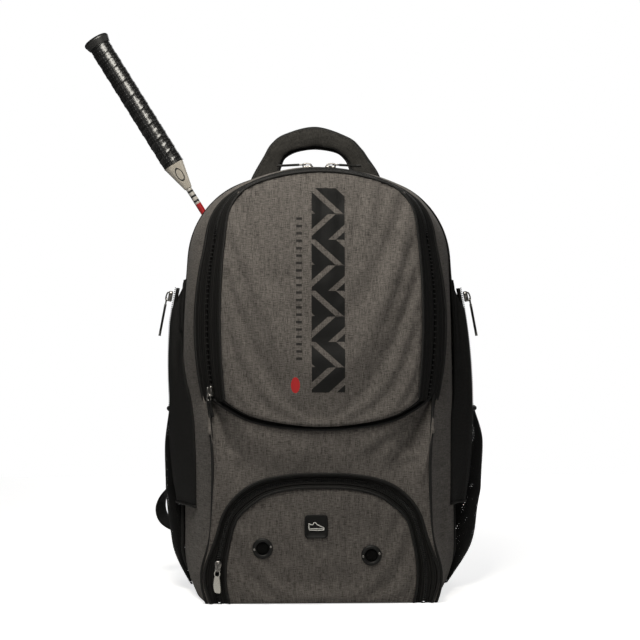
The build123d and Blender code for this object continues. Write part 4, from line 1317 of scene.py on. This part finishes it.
PAD_HEIGHT = 0.0085
back_pad("back_pad_left", (-0.055, 0.2805), (0.037, 0.105), 54, 24, "back_pads")
back_pad("back_pad_right", (0.055, 0.2805), (0.037, 0.105), 54, 24)
back_pad("lumbar_pad", (0.0, 0.100), (0.112, 0.060), 32, 54)


# ------------------------------------------------------------------------------
# Side pockets: slim padded black pockets with a zip down their middle, pointed at the top and
# squared at the bottom, where they meet the mesh pockets.

WALL_X = 0.1516
SIDE_LOW, SIDE_HIGH = 0.098, 0.350
# How far forward each pocket is sewn over the gusset: height and depth, bottom to top.
POCKET_FRONT = {
    -1: [
        (0.090, -0.047), (0.150, -0.047), (0.190, -0.044), (0.219, -0.036), (0.262, -0.017),
        (0.300, -0.012), (0.360, -0.011)
    ],
    1: [
        (0.090, -0.024), (0.150, -0.023), (0.190, -0.020), (0.219, -0.016), (0.262, -0.012),
        (0.300, -0.011), (0.360, -0.010)
    ],
}


# The pocket's middle line is an arc through three points seen from the front.
SIDE_X, SIDE_Z, SIDE_RADIUS = circle((0.161, 0.338), (0.174, 0.232), (0.170, 0.126))


def side_reach(z, side):
    """How far out the pocket's middle stands at a height; the left one is flatter low down."""
    full = SIDE_X + np.sqrt(SIDE_RADIUS**2 - (z - SIDE_Z) ** 2)
    slack = 0.0065 * np.clip((0.300 - z) / 0.085, 0, 1) if side < 0 else 0.0
    return full - slack


gusset_surface = BVHTree.FromObject(front_gusset, bpy.context.evaluated_depsgraph_get())


def gusset_at(side, y, z):
    """The gusset's outside at a depth and height."""
    hit = gusset_surface.ray_cast(Vector((side * 0.3, y, z)), Vector((-side, 0, 0)))[0]
    return abs(hit.x) if hit is not None else WALL_X


def side_pocket(side, label):
    steps = np.linspace(SIDE_LOW, SIDE_HIGH - 0.003, 64)
    heights, depths = zip(*POCKET_FRONT[side])
    grid = []
    for z in steps:
        top = min(1.0, (SIDE_HIGH - z) / 0.034) ** 0.8
        front = -0.006 + (np.interp(z, heights, depths) + 0.006) * max(top, 0.15)
        back = 0.0215 if z < 0.31 else 0.006 + 0.0155 * max(top, 0.15)
        reach = WALL_X - 0.004 + (side_reach(z, side) - WALL_X + 0.004) * top
        lip = gusset_at(side, min(front, -0.013), z) + 0.0008 - 0.005 * (1 - top)
        plan = [
            (lip - 0.0012, front), (lip + 0.0016, front + 0.0006),
            (max(lip + 0.0035, reach - 0.011), front * 0.45), (reach - 0.0030, -0.0035), (reach, 0.006),
            (reach - 0.0022, 0.0150), (WALL_X - 0.004 + 0.0075 * top, back - 0.0015),
            (WALL_X - 0.0020, back)
        ]
        grid.append([(side * x, y, z) for x, y in through(plan, 30)])
    piece = sheet(f"side_pocket_{label}_cloth", grid, black_cloth, towards=(side, 0, 0))
    ends = np.clip(np.minimum(steps - SIDE_LOW, SIDE_HIGH - steps) / 0.02, 0, 1)[:, None]
    inner = np.sin(np.linspace(0, math.pi, 30))[None] * (
        0.25 + 0.75 * np.cos(np.linspace(0, math.pi, 30) * 1.25) ** 2
    )[None]
    folds = (ends * inner).ravel()
    creased(piece, 0.0016, 34, seed=70 + side, stretch=(1, 1, 0.5), mask=lambda co: folds)
    thick(piece, 0.0022, even=False)
    fit(piece, "bag", "black_fabric", f"side_pocket_{label}")
    piped(f"side_pocket_{label}_hem", [grid[0][k] for k in range(27)], 0.0016)
    z = np.linspace(0.118, 0.338, 70)
    line = np.column_stack([side * (side_reach(z, side) - 0.0004), np.full(70, 0.006), z])
    out = np.array([side, 0.0, 0.0])
    tape = rows_between(
        line + [0, -0.0072, 0] - out * 0.0030, line + [0, 0.0072, 0] - out * 0.0030, 9, 0.0026,
        np.broadcast_to(out, line.shape)
    )
    strip = thick(sheet(f"side_tape_{label}", tape, tape_cloth, towards=out), 0.0014)
    fit(strip, "bag", "zip_tape", *once(side, "side_zip_tapes"))
    for row, shift in (("front", -0.0011), ("rear", 0.0011)):
        teeth(f"side_teeth_{label}_{row}", line + [0, shift, 0], out, "bag")


for side, label in SIDES:
    side_pocket(side, label)


# ------------------------------------------------------------------------------
# Mesh pockets: open knitted netting from the base up to a bound mouth, bowed out by nothing but
# its own spring. The weave's holes are an alpha pattern.

net = Finish("pocket_netting", (0.0045, 0.0045, 0.0045), roughness=0.75, specular=0.12)
net_u, net_v, _ = net.parts(net.cloth())
hole_a = ((net_u / 0.0034).fract() - 0.5) ** 2.0 + (((net_v / 0.0058).fract() - 0.5) * 1.7) ** 2.0
hole_b = ((net_u / 0.0034 + 0.5).fract() - 0.5) ** 2.0 + (
    ((net_v / 0.0058 + 0.5).fract() - 0.5) * 1.7
) ** 2.0
yarn = hole_a.math("MINIMUM", hole_b).step(0.034, 0.052)
net.set("Alpha", yarn)
net.bump(yarn + (net_v * 6000.0).sin() * 0.2, 0.0004, 0.7)
NET_ROWS = [
    (0.006, -0.004, 0.007), (0.030, -0.004, 0.016), (0.060, -0.004, 0.025), (0.098, 0.004, 0.031),
    (0.118, 0.016, 0.0335), (0.160, 0.022, 0.035), (0.200, 0.022, 0.0275)
]
for side, label in SIDES:
    rows = through(NET_ROWS, 48)
    spring = 0.70 if side < 0 else 1.14
    grid = []
    for z, front, bow in rows:
        s = np.linspace(0, 1, 30)
        x = WALL_X + bow * spring * np.sin(math.pi * s) ** 0.42
        grid.append(np.column_stack([side * x, front + (0.0915 - front) * s, np.full(30, z)]))
    piece = sheet(f"mesh_pocket_{label}_net", grid, net.material, towards=(side, 0, 0))
    creased(
        piece, 0.0022, 24, seed=80 + side,
        mask=lambda co: np.clip((np.abs(co[:, 0]) - WALL_X) / 0.02, 0, 1)
    )
    kept = points_of(piece).reshape(48, 30, 3)
    thick(piece, 0.0007)
    fit(piece, "bag", "pocket_mesh", f"mesh_pocket_{label}")
    piped(f"mesh_mouth_{label}", kept[-1], 0.0030, "bag", *once(side, "mesh_pocket_bindings"))
    piped(f"mesh_edge_{label}", kept[:, 0] + np.array([side * 0.0006, 0, 0]), 0.0022)


# ------------------------------------------------------------------------------
# Shoulder straps: foam straps in black cloth with bound edges, sewn in at the top of the back
# panel, and the webbing that joins their lower ends to tabs at the bag's foot.


def swept(line, wide_way, half_wide, half_thick, power, sides):
    """Rings of a flat rounded section along a line; wide_way is the section's wide direction."""
    line = np.asarray(line, float)
    along = np.gradient(line, axis=0)
    along /= np.linalg.norm(along, axis=1)[:, None]
    wide = np.broadcast_to(np.asarray(wide_way, float), line.shape)
    wide = wide - along * (wide * along).sum(axis=1)[:, None]
    wide = wide / np.linalg.norm(wide, axis=1)[:, None]
    over = np.cross(along, wide)
    c, s = rounded_square(sides, power)[:, :, None].transpose(1, 0, 2)
    half_wide = np.broadcast_to(half_wide, len(line))
    half_thick = np.broadcast_to(half_thick, len(line))
    return np.array([
        p + c * w * a + s * o * b
        for p, w, o, a, b in zip(line, wide, over, half_wide, half_thick)
    ])


def swept_piece(name, rings, *materials):
    shape = Shape().grid(rings, wrap=True).fan(rings[0], flip=True).fan(rings[-1])
    piece = shape.make(name, *materials)
    mesh = piece.data
    ring_middle = rings[len(rings) // 2].mean(axis=0)
    face = mesh.polygons[(len(rings) // 2) * rings.shape[1]]
    if Vector(face.normal).dot(Vector(face.center) - Vector(ring_middle)) < 0:
        mesh.flip_normals()
    return piece


STRAP_TILT = math.radians(11)
strap_path = through(
    [
        (0, 0, 0.004), (0, 0.001, -0.018), (0, 0.0100, -0.045), (0, 0.0255, -0.080), (0, 0.0300, -0.140),
        (0, 0.0300, -0.200), (0, 0.0240, -0.260), (0, 0.0160, -0.310)
    ],
    70
)
strap_length = np.linspace(0, 1, 70)
for side, label in SIDES:
    path = np.column_stack([
        side * (0.054 - strap_path[:, 2] * math.sin(STRAP_TILT)),
        0.1035 + strap_path[:, 1],
        0.446 + strap_path[:, 2] * math.cos(STRAP_TILT),
    ])
    wide_way = (math.cos(STRAP_TILT), 0, side * math.sin(STRAP_TILT))
    width = 0.0285 * (1 - 0.30 * np.clip((strap_length - 0.82) / 0.18, 0, 1) ** 1.5)
    rings = swept(path, wide_way, width, 0.0050, 3.2, 32)
    strap = swept_piece(f"shoulder_strap_{label}_pad", rings, black_cloth)
    creased(strap, 0.0016, 30, seed=90 + side)
    fit(strap, "bag", "black_fabric", f"shoulder_strap_{label}")
    for edge in (-1, 1):
        line = path + np.array(wide_way) * (edge * width)[:, None]
        piped(f"strap_{label}_binding_{'in' if edge < 0 else 'out'}", line, 0.0026)
        stitch_line = path + np.array(wide_way) * (edge * (width - 0.0055))[:, None]
        outward = np.cross(np.gradient(stitch_line, axis=0), wide_way)
        outward *= np.sign(outward[:, 1].sum())
        outward /= np.linalg.norm(outward, axis=1)[:, None]
        stitches = repeated(
            f"strap_{label}_stitch_{'in' if edge < 0 else 'out'}", stitch_line, outward, 0.0042,
            (0.0028, 0.0006, 0.0006), piping_cloth, 0.0049
        )
        fit(stitches, "bag", "black_fabric")

webbing_finish = Finish("ribbed_webbing", roughness=0.62, specular=0.25)
webbing_u, webbing_v, _ = webbing_finish.parts(webbing_finish.cloth())
chevron = ((webbing_u / 0.0016) + ((webbing_v / 0.0026).fract() - 0.5).abs() * 2.0).fract()
webbing_finish.set(
    "Base Color",
    webbing_finish.stops(
        chevron * 0.6 + webbing_finish.noise(webbing_finish.scaled(webbing_finish.cloth(), 800, 800)) * 0.4,
        (0.2, (0.0035, 0.0035, 0.0035)), (0.8, (0.015, 0.015, 0.0145))
    )
)
webbing_finish.bump((chevron * math.pi).sin(), 0.0003, 0.8)
webbing_cloth = webbing_finish.material
WEBBING = {
    -1: [
        (-0.117, 0.136), (-0.130, 0.1285), (-0.156, 0.1165), (-0.176, 0.100), (-0.1845, 0.082),
        (-0.1815, 0.066), (-0.168, 0.0565), (-0.150, 0.050), (-0.140, 0.048)
    ],
    1: [
        (0.117, 0.136), (0.130, 0.1235), (0.152, 0.106), (0.166, 0.085), (0.166, 0.070), (0.1585, 0.059),
        (0.146, 0.050), (0.138, 0.048)
    ],
}
for side, label in SIDES:
    path = at_depth(through(WEBBING[side], 80), 0.118)
    share = np.linspace(0, 1, len(path))
    twist = math.radians(34) * relaxed(
        np.interp(share, (0.0, 0.40, 0.62, 0.86, 0.97, 1.0), (0, 0, 1, 1, 0, 0)), 12
    )
    in_plane = np.cross(np.gradient(path, axis=0), (0, 1, 0))
    in_plane /= np.linalg.norm(in_plane, axis=1)[:, None]
    wide_way = np.cos(twist)[:, None] * np.array([0, 1, 0]) + np.sin(twist)[:, None] * in_plane
    webbing = swept_piece(f"webbing_{label}", swept(path, wide_way, 0.0100, 0.0010, 6.0, 20), webbing_cloth)
    fit(webbing, "bag", "webbing", *once(side, "strap_webbing"))
    tab_ring = np.array(
        [
            (side * x, z)
            for x, z in (
                (0.128, 0.026), (0.143, 0.031), (0.156, 0.038), (0.1575, 0.050), (0.156, 0.062),
                (0.143, 0.069), (0.128, 0.074), (0.1265, 0.050)
            )
        ]
    )
    tab_ring = even(np.vstack([tab_ring, tab_ring[:1]]), 49)[:-1]
    tab_middle = tab_ring.mean(axis=0)
    layers = [
        at_depth(tab_middle + (tab_ring - tab_middle) * k, y)
        for k, y in (
            (0.05, 0.1168), (0.6, 0.1170), (0.94, 0.1160), (1.0, 0.1125), (1.0, 0.1010), (0.98, 0.0975)
        )
    ]
    tab = sheet(
        f"strap_tab_{label}", layers, black_cloth, away_from=(side * 0.142, 0.100, 0.050), wrap=True
    )
    fit(tab, "bag", "black_fabric", *once(side, "strap_tabs"))
    painted_box(f"ladder_lock_{label}", plastic.material)


# ------------------------------------------------------------------------------
# Carrying handle: a padded grey loop, flat to the front, backed by black webbing that shows at
# its legs.

HANDLE_BEND = dict(start=(0, 0.0955, 0.466), end=(0, 0.0955, 0.484))
handle_outer = through(
    [
        (-0.0800, 0.452), (-0.0750, 0.470), (-0.0610, 0.495), (-0.0520, 0.510), (-0.0360, 0.5215),
        (0, 0.5300), (0.0380, 0.5180), (0.0530, 0.5050), (0.0610, 0.494), (0.0740, 0.474), (0.0790, 0.452)
    ],
    110
)
handle_inner = through(
    [
        (-0.0480, 0.452), (-0.0455, 0.470), (-0.0410, 0.487), (-0.0360, 0.4955), (-0.0220, 0.5025),
        (0, 0.5055), (0.0240, 0.5015), (0.0350, 0.4930), (0.0400, 0.483), (0.0450, 0.469), (0.0480, 0.452)
    ],
    110
)
handle_section = rounded_square(32, 2.7)


def handle_rings(grow, y, half_thick):
    rings = []
    for a, b in zip(handle_inner, handle_outer):
        middle, half = (a + b) / 2, (b - a) / 2
        half = half * (1 + grow / np.linalg.norm(half))
        plan = middle + handle_section[:, :1] * half
        rings.append(at_depth(plan, y + handle_section[:, 1] * half_thick))
    return np.array(rings)


# The handle is the body's grey melange, with its yarns made several times darker: painted shade for the
# shade that the arched handle lies in.
handle_shaded_cloth = melange("handle_shaded_melange", (0.0070, 0.0066, 0.0060), (0.036, 0.034, 0.031))[0].material
handle_pad = swept_piece("handle_pad_cloth", handle_rings(-0.0012, 0.0940, 0.0052), handle_shaded_cloth)
creased(handle_pad, 0.0020, 34, seed=101)
creased(handle_pad, 0.0010, 90, seed=102)
bend_fit(handle_pad, "bag", "handle", HANDLE_BEND, "grey_fabric", "handle_pad")
handle_web = swept_piece("handle_webbing_strip", handle_rings(0.0014, 0.0995, 0.0012), webbing_cloth)
bend_fit(handle_web, "bag", "handle", HANDLE_BEND, "webbing", "handle_webbing", "handle_anchors")
handle_surface = BVHTree.FromObject(handle_pad, bpy.context.evaluated_depsgraph_get())
for label, blend_to in (("outer", 0.90), ("inner", 0.10)):
    stitch_plan = handle_inner + (handle_outer - handle_inner) * blend_to
    hits = [handle_surface.ray_cast(Vector((x, 0.05, z)), Vector((0, 1, 0))) for x, z in stitch_plan]
    line = np.array([tuple(hit[0]) for hit in hits if hit[0] is not None])
    stitches = repeated(
        f"handle_stitch_{label}", line, (0, -1, 0), 0.0040, (0.0026, 0.0006, 0.0006), piping_cloth, 0.0001
    )
    bend_fit(stitches, "bag", "handle", HANDLE_BEND, "grey_fabric")


# ------------------------------------------------------------------------------
# Badminton racket: painted hoop, woven string bed, lacquered shaft and cone, and a wrapped
# black grip. It slides out of the rear compartment along its own length.

RACKET_HEAD = np.array([0.0345, 0.077, 0.161])
RACKET_WAY = np.array([-0.5299, 0.0, 0.8480])
RACKET_SIDE = np.array([0.8480, 0.0, 0.5299])
RACKET_UP = np.array([0.0, -1.0, 0.0])


def on_racket(along, aside=0.0, up=0.0):
    return RACKET_HEAD + RACKET_WAY * along + RACKET_SIDE * aside + RACKET_UP * up


def racket_length(finish):
    """Distance from the middle of the head, along the racket, in the finish's own space."""
    x, _, z = finish.parts(finish.place())
    return (x - RACKET_HEAD[0]) * RACKET_WAY[0] + (z - RACKET_HEAD[2]) * RACKET_WAY[2]


hoop_paint = Finish("hoop_paint", roughness=0.25, specular=0.5, coat=0.6)
hoop_length = racket_length(hoop_paint)
hoop_paint.set(
    "Base Color",
    hoop_paint.blend(
        (hoop_length / 0.09).fract().step(0.78, 0.80), (0.22, 0.010, 0.012, 1), (0.40, 0.39, 0.37, 1)
    )
)
painted_box("racket_frame", hoop_paint.material)
shaft_paint = Finish("shaft_paint", roughness=0.25, metallic=0.3, coat=0.5)
shaft_length = racket_length(shaft_paint)
banding = (shaft_length / 0.0065).fract().step(0.60, 0.66)
upper = shaft_paint.blend(banding, (0.42, 0.40, 0.37, 1), (0.02, 0.02, 0.02, 1))
shaft_paint.set(
    "Base Color", shaft_paint.blend(shaft_length.step(0.326, 0.3275), (0.33, 0.012, 0.014, 1), upper)
)
painted_box("racket_shaft", shaft_paint.material)
cone_paint = Finish("cone_lacquer", roughness=0.30, metallic=0.45, coat=0.4)
cone_length = racket_length(cone_paint)
cone_x, _, cone_z = cone_paint.parts(cone_paint.place())
cone_aside = (cone_x - RACKET_HEAD[0]) * RACKET_SIDE[0] + (cone_z - RACKET_HEAD[2]) * RACKET_SIDE[2]
badge = ((cone_length - 0.366) / 0.0085) ** 2.0 + (cone_aside / 0.0042) ** 2.0
badge_ring = badge.step(0.55, 0.65) * (1.0 - badge.step(0.95, 1.05))
cone_paint.set("Base Color", cone_paint.blend(badge_ring, (0.50, 0.46, 0.40, 1), (0.03, 0.03, 0.03, 1)))
painted_box("racket_cone", cone_paint.material)
cap_finish = Finish("butt_rubber", (0.006, 0.006, 0.006), roughness=0.45, coat=0.2)
cap_finish.bump(cap_finish.noise(cap_finish.scaled(cap_finish.place(), 500, 500, 500)), 0.00015, 0.5)
painted_box("racket_butt_cap", cap_finish.material)

string_finish = Finish("nylon_string", (0.68, 0.68, 0.64), roughness=0.3, specular=0.5)
bed = Shape()
BED_LONG, BED_WIDE, STRING = 0.1130, 0.0910, 0.00042
for k in range(-10, 11):
    aside = k * 0.0083
    reach = BED_LONG * math.sqrt(max(0.0, 1 - (aside / BED_WIDE) ** 2))
    steps = np.linspace(-reach, reach, 45)
    line = np.array(
        [on_racket(a, aside, 0.00040 * math.sin(a / 0.0087 * math.pi + k * math.pi)) for a in steps]
    )
    bed.grid(tube(line, STRING, 5), wrap=True)
for k in range(-12, 13):
    along = k * 0.0087
    reach = BED_WIDE * math.sqrt(max(0.0, 1 - (along / BED_LONG) ** 2))
    steps = np.linspace(-reach, reach, 45)
    line = np.array(
        [on_racket(along, s, -0.00040 * math.sin(s / 0.0083 * math.pi + k * math.pi)) for s in steps]
    )
    bed.grid(tube(line, STRING, 5), wrap=True)
strings = bed.make("string_bed", string_finish.material)
fit(strings, "racket", "string", "racket_strings")

grip_finish = Finish("wrapped_grip", (0.0042, 0.0042, 0.0042), roughness=0.28, specular=0.5, coat=0.25)
grip_u, grip_v, _ = grip_finish.parts(grip_finish.cloth())
dot_a = ((grip_u / 0.0034).fract() - 0.5) ** 2.0 + ((grip_v / 0.0042).fract() - 0.5) ** 2.0
pin = 1.0 - dot_a.step(0.035, 0.070)
grip_finish.set("Roughness", pin * 0.35 + 0.26)
grip_finish.bump(
    (1.0 - pin) * 0.5 + grip_finish.noise(grip_finish.scaled(grip_finish.cloth(), 160, 160)), 0.0003, 0.6
)
GRIP_FROM, GRIP_TO, WRAP = 0.3800, 0.5440, 0.0195
grip_grid = []
for along in np.linspace(GRIP_FROM, GRIP_TO, 190):
    ring = []
    for a in np.linspace(0, math.tau, 40, endpoint=False):
        phase = (along / WRAP + a / math.tau) % 1.0
        ridge = math.exp(-((phase - 0.5) / 0.055) ** 2) * 0.0005 + (phase - 0.5) * 0.0005
        radius = 0.01245 + ridge
        ring.append(on_racket(along, radius * math.cos(a), radius * math.sin(a)))
    grip_grid.append(ring)
grip_grid = np.array(grip_grid)
fit(swept_piece("grip_wrap", grip_grid, grip_finish.material), "racket", "grip_wrap", "racket_grip")


# ------------------------------------------------------------------------------
# Zip sliders and pulls: seven alike, each a waisted body with a bridge, a metal eye and a cord
# pull with a crimped tip. The shoe compartment's pull is all metal.

bright_steel = Finish("bright_nickel", (0.50, 0.49, 0.46), roughness=0.26, metallic=1.0)
bright_steel.bump(
    bright_steel.noise(bright_steel.scaled(bright_steel.place(), 700, 700, 700)), 0.00008, 0.4
)
cord_finish = plain_black("pull_cord", 0.003, 0.012, 6800.0, 0.55, 0.0002)
AXIS_HEIGHT = 0.0062
AXIS_AHEAD = 0.0040


def zip_slider(name, origin, down, out, length, all_metal=False):
    """A slider and its pull on a zip: down is the way it runs, out the way it faces."""
    origin, down, out = (np.array(v, float) for v in (origin, down, out))
    down /= np.linalg.norm(down)
    out -= down * out.dot(down)
    out /= np.linalg.norm(out)
    across = np.cross(out, down)

    def at(a, b, c):
        return origin + down * a + across * b + out * c

    layers = []
    for grow, height in (
        (0.90, 0.0003), (1.0, 0.0009), (1.0, 0.0036), (0.93, 0.0044), (0.70, 0.0047), (0.04, 0.0048)
    ):
        ring = []
        for c, s in rounded_square(36, 3.4):
            waist = 1 - 0.26 * math.exp(-((c - 0.25) / 0.45) ** 2)
            ring.append(at(0.0060 * c * grow, 0.0041 * s * waist * grow, height))
        layers.append(ring)
    body = sheet(f"{name}_slider_body", layers, steel.material, away_from=at(0, 0, 0.001), wrap=True)
    fit(body, f"{name}_slider", "zip_metal", f"{name}_slider")
    arch_line = through(
        [
            at(-0.0042, 0, 0.0040), at(-0.0034, 0, 0.0061), at(0.0005, 0, 0.0071), at(0.0042, 0, 0.0069),
            at(0.0052, 0, 0.0052), at(0.0050, 0, 0.0040)
        ],
        26
    )
    fit(
        cord_piece(f"{name}_slider_bridge", arch_line, 0.00085, steel.material), f"{name}_slider",
        "zip_metal"
    )

    def on_pull(a, b, c=0.0):
        return at(AXIS_AHEAD + a, b, AXIS_HEIGHT + c)

    metal = bright_steel.material if all_metal else steel.material
    tips = bright_steel.material if name.startswith("side") else plastic.material
    eye = [
        on_pull(
            -0.0014 + 0.0040 * (1 - math.cos(a)), 0.0030 * math.sin(a) * (0.8 + 0.1 * (1 - math.cos(a)))
        )
        for a in np.linspace(0, math.tau, 40, endpoint=False)
    ]
    fit(
        cord_piece(f"{name}_pull_eye", eye, 0.00075, metal, closed=True), f"{name}_pull", "pull_metal",
        f"{name}_pull"
    )
    reach = length - 0.0020
    if all_metal:
        path = np.array([on_pull(a, 0) for a in np.linspace(0.0058, reach, 26)])
        t = np.linspace(0, 1, 26)
        width = 0.0026 + 0.0012 * np.sin(t * math.pi) ** 0.6 * (0.5 + t)
        tab = swept_piece(f"{name}_pull_tab", swept(path, across, width, 0.0008, 4.0, 20), metal)
        fit(tab, f"{name}_pull", "pull_metal")
    else:
        path = np.array([on_pull(a, 0) for a in np.linspace(0.0060, reach - 0.004, 30)])
        for part, shift in (("a", -0.0013), ("b", 0.0013)):
            fit(
                cord_piece(f"{name}_pull_cord_{part}", path + across * shift, 0.00125, cord_finish),
                f"{name}_pull", "pull_metal"
            )
        for part, start, end, wide in (
            ("crimp", 0.0056, 0.0090, 0.0029), ("tip", reach - 0.0052, reach, 0.0034)
        ):
            path = np.array([on_pull(a, 0) for a in np.linspace(start, end, 8)])
            crimp = swept_piece(f"{name}_pull_{part}", swept(path, across, wide, 0.0013, 3.4, 20), tips)
            fit(crimp, f"{name}_pull", "pull_metal")


def around(x, z, radius, y, degrees, side):
    """Origin, way down and way out on an arc seen from the front."""
    a = math.radians(degrees)
    out = np.array([side * math.cos(a), 0, math.sin(a)])
    return np.array([x * side, y, z]) + out * radius, (side * math.sin(a), 0, -math.cos(a)), out


SIDE_ANGLE = math.degrees(math.asin((0.328 - SIDE_Z) / SIDE_RADIUS))
CROWN = circle(MAIN["brow"], (0, MAIN["top"]), (-MAIN["brow"][0], MAIN["brow"][1]))
for side, label in SIDES:
    zip_slider(f"main_{label}", *around(*CROWN, MAIN_Y, 87.0, side), 0.032)
    zip_slider(
        f"side_{label}", *around(SIDE_X, SIDE_Z, SIDE_RADIUS + 0.0014, 0.006, SIDE_ANGLE, side), 0.044
    )
zip_slider("pocket", (-0.11704, -0.07633, 0.226), (0.159, 0, -0.987), (-0.7526, -0.6585, 0), 0.026)
zip_slider("shoe", (-0.11105, -0.0920, 0.03975), (-0.1961, 0, -0.9806), FORWARD, 0.026, all_metal=True)
zip_slider("racket", (-0.1504, 0.077, 0.239), (0, 0, -1), (-1, 0, 0), 0.026)
